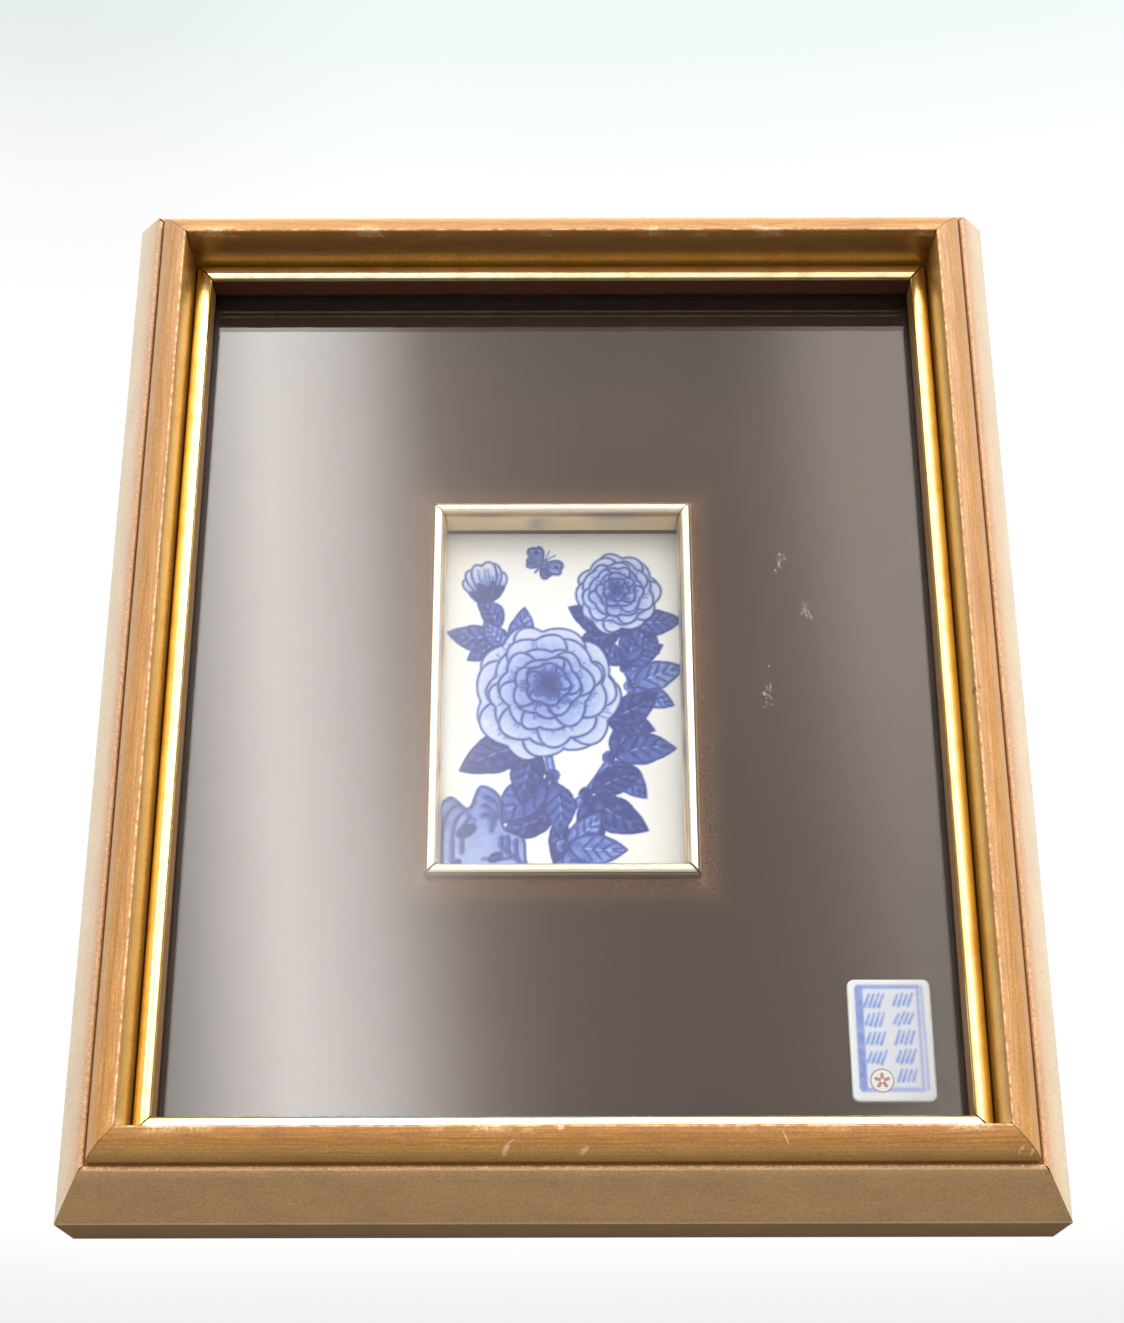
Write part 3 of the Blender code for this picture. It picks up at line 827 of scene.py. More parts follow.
class Painting:
    """What is painted at each point of a mesh.

    Wash is the tone from 0 for bare glaze to 1 for the darkest cobalt. Line and seal are
    distances to the nearest drawn line and the nearest red line, below 0 on them.
    """

    def __init__(self, mesh):
        flat = np.zeros(len(mesh.vertices) * 3)
        mesh.vertices.foreach_get("co", flat)
        self.x, self.z = flat.reshape(-1, 3)[:, (0, 2)].T * 1000
        self.wash = np.zeros(len(self.x))
        self.line = np.full(len(self.x), NO_LINE)
        self.seal = np.full(len(self.x), NO_LINE)

    def near(self, points, reach):
        """Numbers of the mesh's points that lie within reach of the box round some points."""
        low = points.min(axis=0) - reach
        high = points.max(axis=0) + reach
        inside = (self.x > low[0]) & (self.x < high[0]) & (self.z > low[1]) & (self.z < high[1])
        return np.flatnonzero(inside)

    def fill(self, outline, tone, centre=None, reach=1.0, far_tone=None):
        """Lays a wash inside an outline over all that was there, shading away from a centre."""
        outline = np.asarray(outline, float)
        spots = self.near(outline, 0.0)
        x, z = self.x[spots], self.z[spots]
        inside = np.zeros(len(spots), bool)
        for (ax, az), (bx, bz) in zip(outline, np.roll(outline, -1, axis=0)):
            if az != bz:
                crosses = (az > z) != (bz > z)
                inside ^= crosses & (x < (bx - ax) * (z - az) / (bz - az) + ax)
        spots = spots[inside]
        self.line[spots] = NO_LINE
        self.wash[spots] = tone
        if far_tone is not None:
            away = np.hypot(self.x[spots] - centre[0], self.z[spots] - centre[1]) / reach
            self.wash[spots] = tone + (far_tone - tone) * np.clip(away, 0.0, 1.0) ** 0.8

    def distance(self, points, start_width, end_width, margin=0.8):
        """Points near a line and their distance to its edge; the line tapers between two widths."""
        points = np.asarray(points, float)
        spots = self.near(points, max(start_width, end_width) / 2 + margin)
        x, z = self.x[spots], self.z[spots]
        best = np.full(len(spots), NO_LINE)
        pieces = len(points) - 1
        for step, (a, b) in enumerate(zip(points, points[1:])):
            run = b - a
            length = max(float(run @ run), 1e-9)
            share = np.clip(((x - a[0]) * run[0] + (z - a[1]) * run[1]) / length, 0.0, 1.0)
            away = np.hypot(x - a[0] - share * run[0], z - a[1] - share * run[1])
            width = start_width + (end_width - start_width) * (step + share) / pieces
            best = np.minimum(best, away - width / 2)
        return spots, best

    def stroke(self, points, start_width=0.32, end_width=None):
        """Draws a line with the point of the brush."""
        end_width = start_width if end_width is None else end_width
        spots, best = self.distance(points, start_width, end_width)
        self.line[spots] = np.minimum(self.line[spots], best)

    def outline(self, points, width):
        """Draws a line round a closed shape."""
        self.stroke(np.vstack([points, points[:1]]), width)

    def dot(self, spot, width):
        """Sets down the point of the brush."""
        self.stroke([spot, spot + 0.05], width)

    def wet(self, points, start_width, end_width, tone, soft):
        """Lays a soft, watery stroke, or lifts one out where its tone is paler than the wash."""
        spots, best = self.distance(points, start_width, end_width, soft)
        share = np.clip(0.5 - best / soft, 0.0, 1.0)
        share = share * share * (3 - 2 * share)
        self.wash[spots] = self.wash[spots] * (1 - share) + tone * share

    def stamp(self, points, width):
        """Draws a line in red."""
        spots, best = self.distance(points, width, width)
        self.seal[spots] = np.minimum(self.seal[spots], best)


def toward(angle):
    """One millimetre in a direction."""
    return np.array([math.cos(angle), math.sin(angle)])


def circle(count, stretch=1.0, turn=0.0):
    """Points round a circle of one millimetre's radius, or round a slanted oval."""
    angles = np.linspace(0, 2 * math.pi, count, endpoint=False)
    return np.stack([np.cos(angles), stretch * np.sin(angles + turn)], axis=1)


def placed(points, base, angle):
    """Points from a motif's own frame, along and across it, put at a base and turned."""
    cosine, sine = math.cos(angle), math.sin(angle)
    along, across = points[:, 0], points[:, 1]
    return np.stack(
        [base[0] + along * cosine - across * sine, base[1] + along * sine + across * cosine], axis=1
    )


def smooth_curve(points, steps=8):
    """A smooth curve through a few points."""
    knots = np.array([points[0], *points, points[-1]], float)
    curve = []
    for a, b, c, d in zip(knots, knots[1:], knots[2:], knots[3:]):
        for step in range(steps):
            t = step / steps
            curve.append(
                0.5 * (2 * b + (c - a) * t + (2 * a - 5 * b + 4 * c - d) * t ** 2
                       + (3 * b - a - 3 * c + d) * t ** 3)
            )
    return np.array([*curve, knots[-2]])


def paint_petal(painting, base, angle, length, width, tones, dice):
    """A broad petal with a lobed tip: a wash that pales towards the tip, and fine streaks."""
    turn = np.linspace(0, 2 * math.pi, 96, endpoint=False)
    share = 0.5 - 0.5 * np.cos(turn)
    # Round lobes along the tip, with a small notch between each two
    lobes = np.abs(np.sin(dice.choice((3, 4)) * (turn - math.pi) / 2 + dice.uniform(-0.5, 0.5)))
    ruffle = 1 - 0.13 * share ** 3 * (1 - lobes ** 0.7)
    across = width / 2 * np.sin(turn) * (0.30 + 0.70 * share) / 0.72
    skew = dice.uniform(-0.10, 0.10) * width * share ** 2
    outline = np.stack([length * share * ruffle, across * ruffle + skew], axis=1)
    outline = placed(outline, base, angle)
    painting.fill(outline, tones[0], base, length * 0.95, tones[1])
    painting.outline(outline, 0.42)
    streaks = max(4, round(width / 1.15))
    for index in range(streaks):
        side = (index + 0.5) / streaks * 2 - 1
        start = dice.uniform(0.10, 0.25)
        end = dice.uniform(0.55, 0.92) - 0.22 * abs(side)
        shares = np.linspace(start, end, 6)
        swell = np.sin(np.arccos(1 - 2 * shares)) * (0.30 + 0.70 * shares) / 0.72
        line = np.stack([length * shares, side * 0.80 * width / 2 * swell], axis=1)
        painting.stroke(placed(line, base, angle), 0.34, 0.05)


def paint_bloom(painting, centre, radius, dice, lean):
    """A full peony bloom: rings of broad lobed petals, closing to a tight heart."""
    # Each ring has a count of petals, their length and width in radii, and their tones
    rings = (
        (7, 1.00, 0.94, (0.78, 0.14)),
        (7, 0.82, 0.78, (0.84, 0.18)),
        (6, 0.64, 0.66, (0.88, 0.24)),
        (5, 0.47, 0.54, (0.94, 0.32)),
        (5, 0.32, 0.38, (0.98, 0.42)),
    )
    for ring, (count, reach, width, tones) in enumerate(rings):
        heart = np.array(centre) + np.array(lean) * ring
        first = dice.uniform(0, 6.28)
        for index in range(count):
            angle = first + 2 * math.pi * index / count + dice.uniform(-0.12, 0.12)
            length = radius * reach * dice.uniform(0.93, 1.05)
            start = heart - 0.6 * toward(angle)
            paint_petal(painting, start, angle, length, radius * width, tones, dice)
    for index in range(12):
        painting.dot(heart + 0.05 * radius * math.sqrt(index) * toward(index * 2.4), 0.55)


def paint_leaf(painting, base, angle, length, width, tones, dice):
    """A pointed leaf in a full wash, darker on one half, with a pale midrib and drawn veins."""
    bend = dice.uniform(-0.12, 0.12)
    shares = np.linspace(0, 1, 25)
    half = width / 2 * np.sin(math.pi * shares ** 0.85) ** 0.9
    half = half * (1 + 0.07 * np.abs(np.sin(shares * 9.4)))
    middle = bend * length * np.sin(math.pi * shares)
    left, right, spine = (
        np.stack([length * shares, middle + offset], axis=1) for offset in (half, -half, 0.0 * half)
    )
    outline = placed(np.vstack([left, right[-2:0:-1]]), base, angle)
    painting.fill(outline, tones[0], base, length, tones[1])
    dark_half = placed(np.vstack([left, spine[-2:0:-1]]), base, angle)
    painting.fill(dark_half, min(1.0, tones[0] * 1.12), base, length, tones[1] * 1.12)
    painting.outline(outline, 0.36)
    for index in range(1, 5):
        start = 0.08 + 0.17 * index
        end = min(start + 0.17, 0.95)
        for side in (-1, 1):
            tip = side * 0.80 * width / 2 * math.sin(math.pi * end ** 0.85) ** 0.9
            root = bend * length * math.sin(math.pi * start)
            vein = np.array([[length * start, root], [length * end, root + tip]])
            painting.stroke(placed(vein, base, angle), 0.30, 0.08)
    painting.wet(placed(spine[6:-3], base, angle), 0.34, 0.06, tones[1] * 0.45, 0.34)


def paint_spray(painting, base, angle, size, tones, dice):
    """Three leaves on short stalks from one knot."""
    painting.fill(np.array(base) + 0.11 * size * circle(12), tones[0])
    for turn, reach in ((0.95, 0.80), (-0.90, 0.82), (0.0, 1.0)):
        heading = angle + turn + dice.uniform(-0.12, 0.12)
        root = base + 0.10 * size * toward(heading)
        painting.stroke([base, root], 0.55, 0.45)
        paint_leaf(painting, root, heading, size * reach, size * 0.52 * reach, tones, dice)


def paint_stem(painting, points, width, tone):
    """A stem: a wash between two drawn lines, with short marks of bark."""
    curve = smooth_curve(points)
    run = np.gradient(curve, axis=0)
    run /= np.linalg.norm(run, axis=1)[:, None]
    normal = np.stack([-run[:, 1], run[:, 0]], axis=1)
    taper = np.linspace(1.0, 0.6, len(curve))[:, None] * width / 2
    left = curve + normal * taper
    right = curve - normal * taper
    painting.fill(np.vstack([left, right[::-1]]), tone)
    painting.stroke(left, 0.34)
    painting.stroke(right, 0.34)
    for index in range(2, len(curve) - 2, 3):
        mark = [curve[index] + normal[index] * taper[index] * 0.5, curve[index + 1]]
        painting.stroke(mark, 0.32, 0.08)


def paint_bud(painting, base, angle, size, dice):
    """A closed bud in its sepals."""
    for turn, reach in ((0.42, 0.82), (-0.42, 0.82), (0.20, 0.95), (-0.20, 0.96), (0.0, 1.0)):
        paint_petal(painting, base, angle + turn, size * reach, size * 0.56, (0.66, 0.08), dice)
    for turn in (0.95, -0.95, 0.35, -0.35):
        paint_leaf(painting, base, angle + turn, size * 0.50, size * 0.24, (0.85, 0.80), dice)


def paint_rock(painting, outline, holes, dice):
    """A garden rock, pierced and lined as its folds run."""
    edge = smooth_curve([*outline, outline[0]], 7)
    middle = edge.mean(axis=0)
    low = edge[:, 1].min()
    painting.fill(edge[:-1], 0.16, (middle[0], low), np.ptp(edge[:, 1]), 0.58)
    painting.stroke(edge, 0.50)
    for share in (0.80, 0.60, 0.42):
        inner = middle + (edge - middle) * share
        for part in range(3):
            start = int(len(inner) * (part / 3 + dice.uniform(0.02, 0.10)))
            stop = int(len(inner) * ((part + 1) / 3 - dice.uniform(0.03, 0.12)))
            painting.stroke(inner[start:stop], 0.42, 0.10)
            painting.wet(inner[start:stop] - 0.5, 1.2, 0.4, 0.72, 0.9)
    for x, z, size in holes:
        hole = np.array([x, z]) + size * circle(20, 0.75, 0.5)
        painting.fill(hole, 0.95)
        painting.outline(hole, 0.36)


def paint_moth(painting, centre, angle, size, dice):
    """A small moth with open wings."""
    for side in (-1, 1):
        for turn, reach, tones in ((2.0, 0.72, (0.30, 0.62)), (1.05, 1.0, (0.22, 0.55))):
            heading = angle + side * turn
            paint_petal(painting, centre, heading, size * reach, size * 0.70 * reach, tones, dice)
            painting.dot(centre + size * reach * 0.66 * toward(heading), 0.9)
    head = centre + toward(angle) * size * 0.3
    painting.stroke([centre - toward(angle) * size * 0.45, head], 0.4, 1.1)
    for turn in (0.35, -0.35):
        painting.stroke([head, head + size * 0.5 * toward(angle + turn)], 0.28, 0.16)


def paint_tile(painting):
    """A flowering peony beside a rock, a traditional subject of blue and white ware."""
    dice = random.Random(11)
    dark, mid, soft = (0.95, 0.80), (0.80, 0.62), (0.58, 0.44)
    for points, width in (
        ([(-3.0, -50.0), (0.5, -38.0), (-2.0, -24.0), (-5.0, -8.0)], 2.6),
        ([(-0.5, -33.0), (9.0, -22.0), (17.5, -4.0), (16.5, 20.0)], 2.0),
        ([(-8.0, 4.0), (-17.0, 19.0), (-19.5, 29.0)], 1.6),
    ):
        paint_stem(painting, points, width, 0.50)
    for base, angle, size, tones in (
        ((17.5, 4.0), 0.35, 14.0, soft),
        ((16.5, 9.0), 1.45, 13.0, mid),
        ((-16.0, 19.0), 3.0, 13.0, mid),
        ((-14.0, 14.0), 1.25, 12.0, soft),
        ((12.0, -16.0), 0.15, 16.0, mid),
        ((6.0, -26.0), -0.55, 17.0, dark),
        ((-1.0, -32.0), 3.55, 14.0, dark),
        ((0.0, -40.0), -0.15, 15.0, soft),
        ((-2.5, -21.0), 3.75, 18.0, mid),
        ((-7.0, -12.0), 3.45, 19.0, dark),
        ((10.5, -6.0), 0.60, 15.0, dark),
        ((16.5, 19.0), 2.65, 15.0, dark),
        ((17.5, 22.0), 0.15, 13.0, mid),
    ):
        paint_spray(painting, base, angle, size, tones, dice)
    paint_rock(
        painting,
        [(-33, -52), (-33, -34), (-29, -27), (-24, -30), (-21, -24), (-16, -27), (-15, -35),
         (-10, -38), (-9, -45), (-4, -52)],
        ((-24.5, -36.0, 2.3), (-17.0, -43.0, 1.7), (-27.0, -44.5, 1.2)), dice,
    )
    paint_bloom(painting, (15.0, 30.5), 12.5, dice, (-0.15, 0.35))
    paint_bud(painting, (-19.5, 28.5), 1.75, 12.0, dice)
    paint_bloom(painting, (-4.5, 2.0), 20.5, dice, (0.2, 0.6))
    paint_moth(painting, np.array([-5.5, 39.0]), 0.9, 6.0, dice)


def paint_plaque(painting):
    """A soft border, two columns of hatched dabs, which aren't writing, and a red roundel."""
    dice = random.Random(5)
    low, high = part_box("small_plaque")
    left, right, foot, head = (value * 1000 for value in (low.x, high.x, low.z, high.z))
    x0, x1 = left + 2.7, right - 3.2
    z0, z1 = foot + 2.9, head - 1.9
    painting.fill([(x0, z0), (x1, z0), (x1, z1), (x0, z1)], 0.07)
    for start, end, width, tone in (
        ((x0, z0), (x1, z0), 1.1, 0.34),
        ((x1, z0), (x1, z1), 0.8, 0.34),
        ((x1, z1), (x0, z1), 1.0, 0.42),
        ((x0, z1 - 0.6), (x0, z0 + 0.6), 1.9, 0.50),
        ((x1 + 1.2, z0 + 0.2), (x1 + 0.9, z1), 0.8, 0.26),
    ):
        painting.wet([start, end], width, width, tone, 0.7)
    # Each group is four like dabs side by side, slanting one way
    for x, top, rows in ((left + 6.3, z1 - 3.4, 4), (right - 6.9, z1 - 3.2, 5)):
        for row in range(rows):
            run = toward(1.15 + dice.uniform(-0.08, 0.08))
            for index in range(4):
                middle = np.array([x + 1.15 * (index - 1.5), top - 4.6 * row])
                half = dice.uniform(1.2, 1.75) * run
                painting.wet([middle - half, middle + half], 0.70, 0.45, 0.52, 0.80)
    middle = np.array([left + 7.2, foot + 5.1])
    rim = circle(32)
    painting.fill(middle + 2.9 * rim, 0.0)
    painting.stamp(middle + 2.75 * np.vstack([rim, rim[:1]]), 0.26)
    # A small blossom of five petals
    for index in range(5):
        run = toward(2 * math.pi * (index + 0.25) / 5)
        painting.stamp([middle + run * 0.75, middle + run * 1.55], 0.75)


def dress_plate(node, width, height, step, paint, glaze):
    """Gives a plate a fine grid on its front, paints it and glazes it.

    The front face is taken out, a grid is put in its place, and the two are bridged.
    """
    piece = merged_copy(node, "painted_" + node)
    low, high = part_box(node)
    middle = (low + high) / 2
    if select_where(piece, "faces", lambda face: face.normal.y < -STRAIGHT) != 1:
        raise RuntimeError("the front of " + node + " isn't one face")
    bpy.ops.mesh.delete(type="FACE")
    bpy.ops.object.mode_set(mode="OBJECT")

    bpy.ops.object.select_all(action="DESELECT")
    bpy.ops.mesh.primitive_grid_add(
        x_subdivisions=round(width / step), y_subdivisions=round(height / step),
        size=1.0, location=(middle.x, low.y, middle.z), rotation=(math.pi / 2, 0.0, 0.0),
    )
    field = bpy.context.active_object
    field.scale = (width, height, 1.0)
    bpy.ops.object.transform_apply(location=True, rotation=True, scale=True)
    piece.select_set(True)
    bpy.context.view_layer.objects.active = piece
    bpy.ops.object.join()
    bpy.ops.object.mode_set(mode="EDIT")
    select_where(piece, "edges", lambda edge: edge.is_boundary)
    bpy.ops.mesh.bridge_edge_loops()
    bpy.ops.object.mode_set(mode="OBJECT")

    painting = Painting(piece.data)
    paint(painting)
    for name in ("wash", "line", "seal"):
        layer = piece.data.attributes.new(name, "FLOAT", "POINT")
        layer.data.foreach_set("value", getattr(painting, name).astype(np.float32))
    finish_piece(piece, glaze, node)


# Operators

class PANEL_OT_rails(bpy.types.Operator):
    """Dress the four rails in worn, washed wood"""

    bl_idname = "porcelain_panel.rails"
    bl_label = "Rails"

    def execute(self, context):
        sizes = context.scene.panel_sizes
        colours = context.scene.wood_colours
        woods = {
            0: washed_wood("washed_limewood_across", "X", HALF_HEIGHT, colours),
            2: washed_wood("washed_limewood_upright", "Z", HALF_WIDTH, colours),
        }
        for side in SIDES:
            node = "rail_" + side
            piece = merged_copy(node, "wood_rail_" + side)
            rail = RailPlace(side)

            def is_widest(edge):
                return all(
                    inset < PLACE_TOLERANCE
                    and abs(height - WIDEST_HEIGHT / 1000) < HEIGHT_TOLERANCE
                    for inset, height, _ in (rail.of(vert.co) for vert in edge.verts)
                )

            if not select_where(piece, "edges", is_widest):
                raise RuntimeError("no widest arris on " + node)
            bpy.ops.mesh.bevel(offset=sizes.arris_round, segments=3, profile=0.5)
            cut_along(piece, node, side, sizes.rail_step)
            bpy.ops.object.mode_set(mode="OBJECT")
            wear_rail(piece, rail, sizes)
            close_mitres(piece, rail)
            if side == "right":
                nick_rail(piece, rail)
            finish_piece(piece, woods[rail.axis], node)
        return {"FINISHED"}


def dress_strips(kind, golds, step):
    """Cuts the four strips of a gold moulding finely and gives each the gold of its axis."""
    for side in SIDES:
        node = kind + "_" + side
        piece = merged_copy(node, "gold_" + node)
        cut_along(piece, node, side, step)
        finish_piece(piece, golds[strip_axis(side)], node)


class PANEL_OT_slips(bpy.types.Operator):
    """Dress the four gold slips along the glass"""

    bl_idname = "porcelain_panel.slips"
    bl_label = "Slips"

    def execute(self, context):
        colours = context.scene.gold_colours
        # The top and bottom slips get a paler gold, a painted highlight, and darker sides, a painted
        # shade
        pale, dark = colours.slip_gold_painted_highlight, colours.slip_side_deeper_painted_shade
        golds = {
            0: slip_gold("stamped_gold_foil_across", "X", pale, dark, colours),
            2: slip_gold("stamped_gold_foil_upright", "Z", colours.slip, colours.slip_side_painted_shade, colours),
        }
        dress_strips("slip", golds, context.scene.panel_sizes.strip_step)
        return {"FINISHED"}


class PANEL_OT_fillets(bpy.types.Operator):
    """Dress the pale gold fillet round the window of the mat"""

    bl_idname = "porcelain_panel.fillets"
    bl_label = "Fillet"

    def execute(self, context):
        gold = fillet_gold(context.scene.gold_colours)
        step = context.scene.panel_sizes.strip_step
        dress_strips("fillet", {0: gold, 2: gold}, step)
        return {"FINISHED"}


class PANEL_OT_mat(bpy.types.Operator):
    """Dress the dark mat"""

    bl_idname = "porcelain_panel.mat"
    bl_label = "Mat"

    def execute(self, context):
        piece = merged_copy("mat_board", "dark_mat_board")
        finish_piece(piece, dark_card(context.scene.card_colours), "mat_board")
        return {"FINISHED"}


class PANEL_OT_tile(bpy.types.Operator):
    """Model the porcelain tile and paint it"""

    bl_idname = "porcelain_panel.tile"
    bl_label = "Porcelain tile"

    def execute(self, context):
        colours = context.scene.glaze_colours
        dress_plate(
            "porcelain_tile",
            (FILLET_HALF_WIDTH - FILLET_BAR + TILE_UNDERLAP) * 2,
            (FILLET_HALF_HEIGHT - FILLET_BAR + TILE_UNDERLAP) * 2,
            context.scene.panel_sizes.tile_step, paint_tile,
            glazed_porcelain("glazed_painted_porcelain", colours.white, colours),
        )
        return {"FINISHED"}


class PANEL_OT_plaque(bpy.types.Operator):
    """Model the small plaque and paint it"""

    bl_idname = "porcelain_panel.plaque"
    bl_label = "Small plaque"

    def execute(self, context):
        colours = context.scene.glaze_colours
        low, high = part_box("small_plaque")
        dress_plate(
            "small_plaque", high.x - low.x - 2 * PLAQUE_RIM, high.z - low.z - 2 * PLAQUE_RIM,
            context.scene.panel_sizes.plaque_step, paint_plaque,
            glazed_porcelain("glazed_painted_plaque", colours.plaque, colours),
        )
        return {"FINISHED"}


class PANEL_OT_glass(bpy.types.Operator):
    """Make the glass clear and settle a little dust on it"""

    bl_idname = "porcelain_panel.glass"
    bl_label = "Glass"

    def execute(self, context):
        colours = context.scene.studio_colours
        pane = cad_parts["glass_pane"]
        pane.data.materials.clear()
        pane.data.materials.append(window_glass(colours))
        self.add_dust(context, colours)
        return {"FINISHED"}

    def dust_places(self, dice):
        """Where each speck lies, how wide it is in speck sizes, and how slim."""
        places = []
        for _ in range(SPECKS):
            x = dice.uniform(-0.092, 0.092)
            places.append((x, dice.uniform(-0.110, 0.110), dice.choice((0.7, 0.9, 1.0, 1.5)), 1.0))
        # A thin line of dust and a looser row under it, at the lower left
        for _ in range(LINE_SPECKS):
            x = dice.uniform(-0.073, -0.058)
            places.append((x, -0.1034 + (x + 0.073) * 0.03, dice.choice((0.5, 0.7)), 1.0))
        for _ in range(ROW_SPECKS):
            places.append((dice.uniform(-0.074, -0.056), dice.gauss(-0.1076, 0.0008), 0.8, 1.0))
        for x, z, extent, tilt in SMEARS:
            for _ in range(SMEAR_FLAKES):
                along = dice.gauss(0, extent * 0.75)
                off = dice.gauss(0, extent * 0.30)
                spot_x = x + along * math.sin(tilt) + off * math.cos(tilt)
                spot_z = z + along * math.cos(tilt) - off * math.sin(tilt)
                places.append((spot_x, spot_z, dice.uniform(1.2, 3.4), 0.6))
        return places

    def add_dust(self, context, colours):
        """Specks over the whole pane, and three smears of thin flakes at the right."""
        dice = random.Random(23)
        size = context.scene.panel_sizes.speck_size
        bpy.ops.object.select_all(action="DESELECT")
        bpy.ops.mesh.primitive_ico_sphere_add(subdivisions=1, radius=0.5, location=(0, 0, 0))
        speck = bpy.context.active_object
        bpy.ops.object.mode_set(mode="EDIT")
        bpy.ops.mesh.select_all(action="SELECT")
        bpy.ops.transform.resize(value=(1.0, 0.1, 1.0))
        bpy.ops.object.mode_set(mode="OBJECT")
        copies = []
        for x, z, scale, slimness in self.dust_places(dice):
            copy = speck.copy()
            copy.data = speck.data.copy()
            bpy.context.scene.collection.objects.link(copy)
            width = size * scale * dice.uniform(0.7, 1.3)
            copy.scale = (width, size, width * slimness * dice.uniform(0.6, 1.0))
            copy.rotation_euler = (0.0, dice.uniform(0, math.pi), 0.0)
            copy.location = (x, GLASS_FACE - size * 0.06, z)
            copies.append(copy)
        bpy.data.objects.remove(speck, do_unlink=True)
        select_only(copies[0])
        for copy in copies:
            copy.select_set(True)
        bpy.ops.object.join()
        bpy.ops.object.transform_apply(location=True, rotation=True, scale=True)
        dust = bpy.context.active_object
        dust.name = "glass_dust"
        dust.data.materials.clear()
        dust.data.materials.append(settled_dust(colours))
        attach(dust, "root")


class PANEL_OT_backing(bpy.types.Operator):
    """Dress the backing board"""

    bl_idname = "porcelain_panel.backing"
    bl_label = "Backing board"

    def execute(self, context):
        piece = merged_copy("backing_board", "pressed_backing_board")
        select_where(piece, "edges", lambda edge: True)
        bpy.ops.mesh.bevel(offset=BACKING_ROUND, segments=2, profile=0.5)
        board = pressed_board(context.scene.wood_colours)
        finish_piece(piece, board, "backing_board")
        return {"FINISHED"}


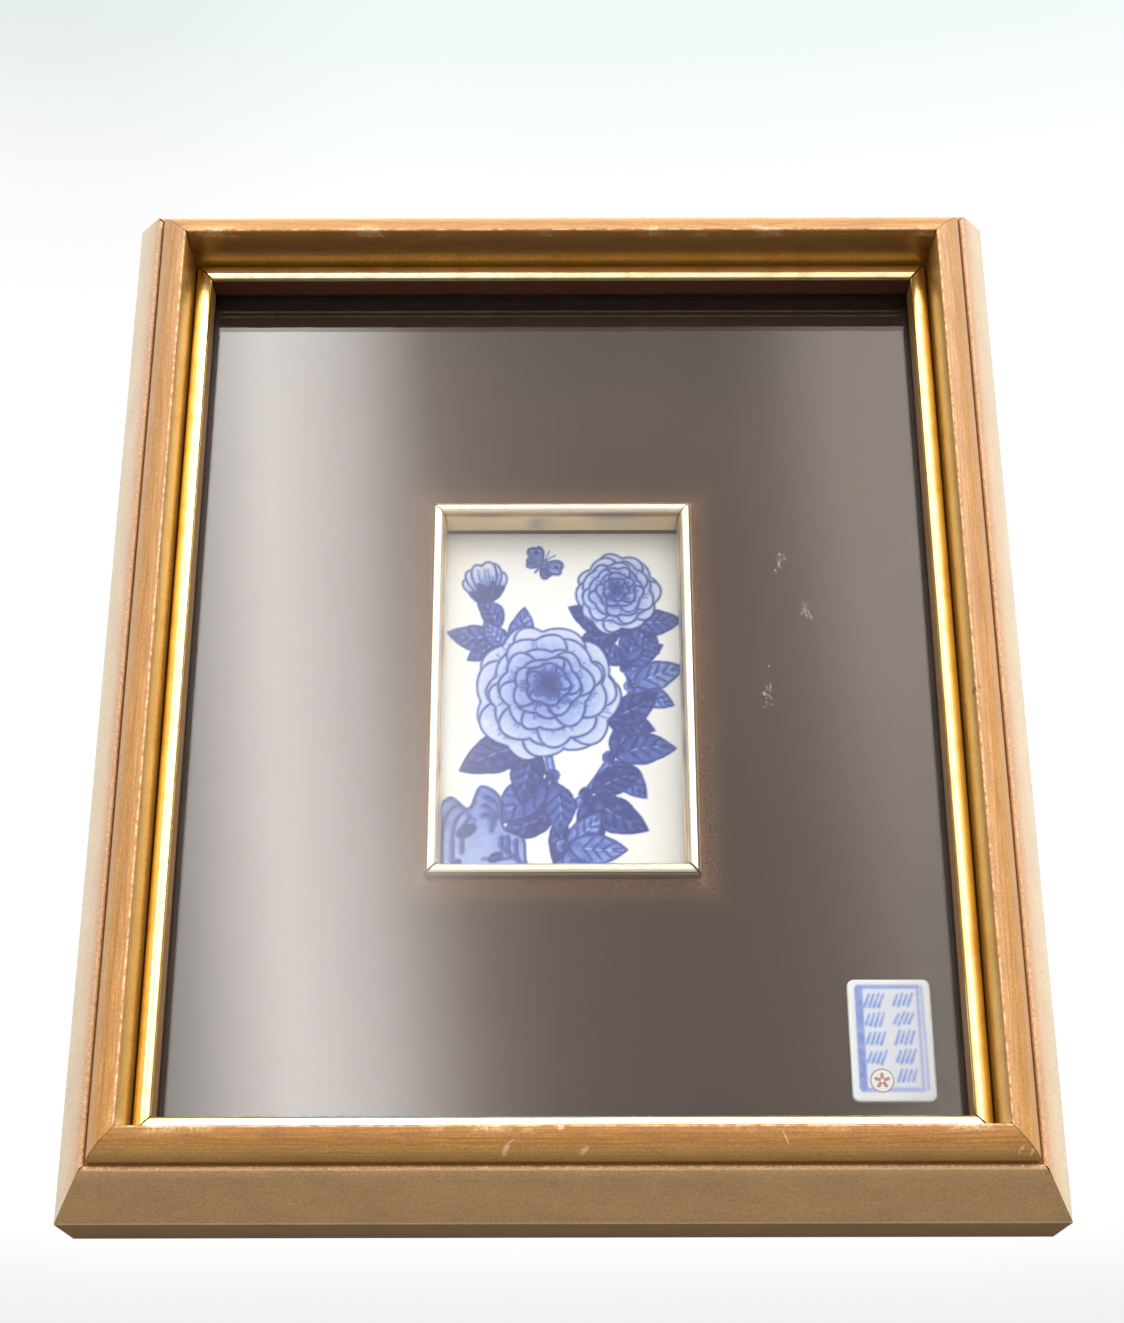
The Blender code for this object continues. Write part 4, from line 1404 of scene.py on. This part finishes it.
class PANEL_OT_studio(bpy.types.Operator):
    """Set up the camera, the floor and the soft light"""

    bl_idname = "porcelain_panel.studio"
    bl_label = "Studio"

    def execute(self, context):
        colours = context.scene.studio_colours
        self.add_camera(context)
        self.add_floor(colours)
        self.add_light(context, colours)
        context.scene.view_settings.view_transform = "Standard"
        return {"FINISHED"}

    def add_camera(self, context):
        data = bpy.data.cameras.new("camera")
        data.lens = CAMERA_LENS
        data.sensor_width = CAMERA_SENSOR
        data.clip_start = 0.01
        camera = bpy.data.objects.new("camera", data)
        camera.location = CAMERA_PLACE
        camera.rotation_euler = CAMERA_TURN
        context.scene.collection.objects.link(camera)
        context.scene.camera = camera

    def add_floor(self, colours):
        bpy.ops.object.select_all(action="DESELECT")
        bpy.ops.mesh.primitive_plane_add(size=FLOOR_SIZE, location=(0.0, 0.0, FLOOR_LEVEL))
        floor = bpy.context.active_object
        floor.name = "floor"
        floor.data.materials.append(floor_paint(colours))
        # The floor is only seen: the tent alone lights the panel
        floor.visible_diffuse = False
        floor.visible_glossy = False
        floor.visible_shadow = False

    def add_light(self, context, colours):
        """A studio tent, lit mostly from high in front.

        The part of it that the glass mirrors is dimmer, but for a tall window at its left.
        """
        world = bpy.data.worlds.new("studio_tent")
        context.scene.world = world
        world.use_nodes = True
        tree = world.node_tree
        way = add_node(tree, "TexCoord")["Generated"]
        x, y, z = add_node(tree, "SeparateXYZ", {0: way})
        outward = add_node(tree, "Math", {0: x}, operation="ABSOLUTE")[0]
        # How far a direction lies to the left for each metre ahead; the window leans by its height
        bearing = add_node(tree, "Math", {0: x, 1: y}, operation="DIVIDE")[0]
        lean = add_node(tree, "Math", {0: z, 1: -0.11, 2: 0.022}, operation="MULTIPLY_ADD")[0]
        bearing = add_node(tree, "Math", {0: bearing, 1: lean}, operation="ADD")[0]
        first, last = VEIL_LEVELS[0][0], VEIL_LEVELS[-1][0]
        place = {"Value": bearing, "From Min": first, "From Max": last}
        veil = add_node(tree, "ValToRGB", {0: add_node(tree, "MapRange", place)[0]})[0]
        veil.node.color_ramp.interpolation = "B_SPLINE"
        stops = veil.node.color_ramp.elements
        for at, level in VEIL_LEVELS[1:-1]:
            stops.new((at - first) / (last - first))
        for stop, (at, level) in zip(stops, VEIL_LEVELS):
            stop.color = (level / VEIL_PEAK,) * 3 + (1.0,)
        level = add_node(tree, "Math", {0: veil, 1: VEIL_PEAK}, operation="MULTIPLY")[0]
        # Each area of the tent is laid over those before it
        seen = add_node(tree, "LightPath")["Is Camera Ray"]
        behind = (y, -0.15, 0.10)
        for area, amount, *steps in (
            (0.9, 0.35, (z, 0.42, 0.22), (bearing, 0.04, -0.02)),
            (1.9, 0.35, (z, 0.42, 0.52), (bearing, 0.06, 0.02), (bearing, -0.14, -0.08)),
            (6.6, 1.0, (z, 0.56, 0.68)),
            (0.5, 1.0, (z, 0.79, 0.92)),
            (0.5, 1.0, (outward, 0.60, 0.90)),
            (1.35, 1.0, (z, 0.17, 0.03), (outward, 0.85, 0.55)),
            (0.2, 1.0, (z, -0.40, -0.90)),
            (1.02, 1.0, behind),
            (1.5, 1.0, behind, (outward, 0.36, 0.54), (z, 0.10, 0.25)),
            (0.88, 1.0, behind, (z, 0.155, 0.10)),
            (0.08, 1.0, behind, (z, 0.09, -0.04)),
            # What is seen past the panel is a pale backdrop from any side
            (1.02, seen),
            # The backdrop seen by the camera is painted a little darker low down, a painted shade at
            # its foot, and a little darker in a high corner at the left
            (0.88, seen, (z, 0.155, 0.10)),
            (0.89, seen, (z, 0.48, 0.66), (x, -0.06, -0.24)),
        ):
            mix = {0: share_past(tree, amount, steps), 2: level, 3: area}
            level = add_node(tree, "Mix", mix, data_type="FLOAT")[0]
        colour = laid_over(
            tree, rgba(colours.warm),
            (colours.light, 1.0, (bearing, 0.02, 0.09)),
            (colours.light, 1.0, (bearing, -0.22, -0.32)),
            (colours.backdrop, 1.0, (z, 0.52, 0.62)),
            (colours.backdrop, 1.0, behind),
            (colours.backdrop, seen),
            (colours.sky, seen, (z, 0.56, 0.66)),
        )
        set_inputs(tree, tree.nodes["Background"], {"Color": colour, "Strength": level})


OPERATORS = (
    PANEL_OT_rails,
    PANEL_OT_slips,
    PANEL_OT_fillets,
    PANEL_OT_mat,
    PANEL_OT_tile,
    PANEL_OT_plaque,
    PANEL_OT_glass,
    PANEL_OT_backing,
    PANEL_OT_studio,
)


class PANEL_PT_pieces(bpy.types.Panel):
    """Lists the pieces of the panel and their sizes and colours"""

    bl_idname = "PANEL_PT_pieces"
    bl_label = "Porcelain Panel"
    bl_space_type = "VIEW_3D"
    bl_region_type = "UI"
    bl_category = "Panel"

    def draw(self, context):
        for operator in OPERATORS:
            self.layout.operator(operator.bl_idname)
        for name, group in GROUPS.items():
            box = self.layout.box()
            box.label(text=group.__doc__)
            for key in group.__annotations__:
                box.prop(getattr(context.scene, name), key)


def register():
    for name, group in GROUPS.items():
        bpy.utils.register_class(group)
        setattr(bpy.types.Scene, name, bpy.props.PointerProperty(type=group))
    for kind in (*OPERATORS, PANEL_PT_pieces):
        bpy.utils.register_class(kind)


def unregister():
    for kind in (PANEL_PT_pieces, *reversed(OPERATORS)):
        bpy.utils.unregister_class(kind)
    for name, group in GROUPS.items():
        delattr(bpy.types.Scene, name)
        bpy.utils.unregister_class(group)


def main():
    register()
    for operator in OPERATORS:
        area, name = operator.bl_idname.split(".")
        if getattr(getattr(bpy.ops, area), name)() != {"FINISHED"}:
            raise RuntimeError(operator.bl_label + " wasn't finished")


if __name__ == "__main__":
    main()
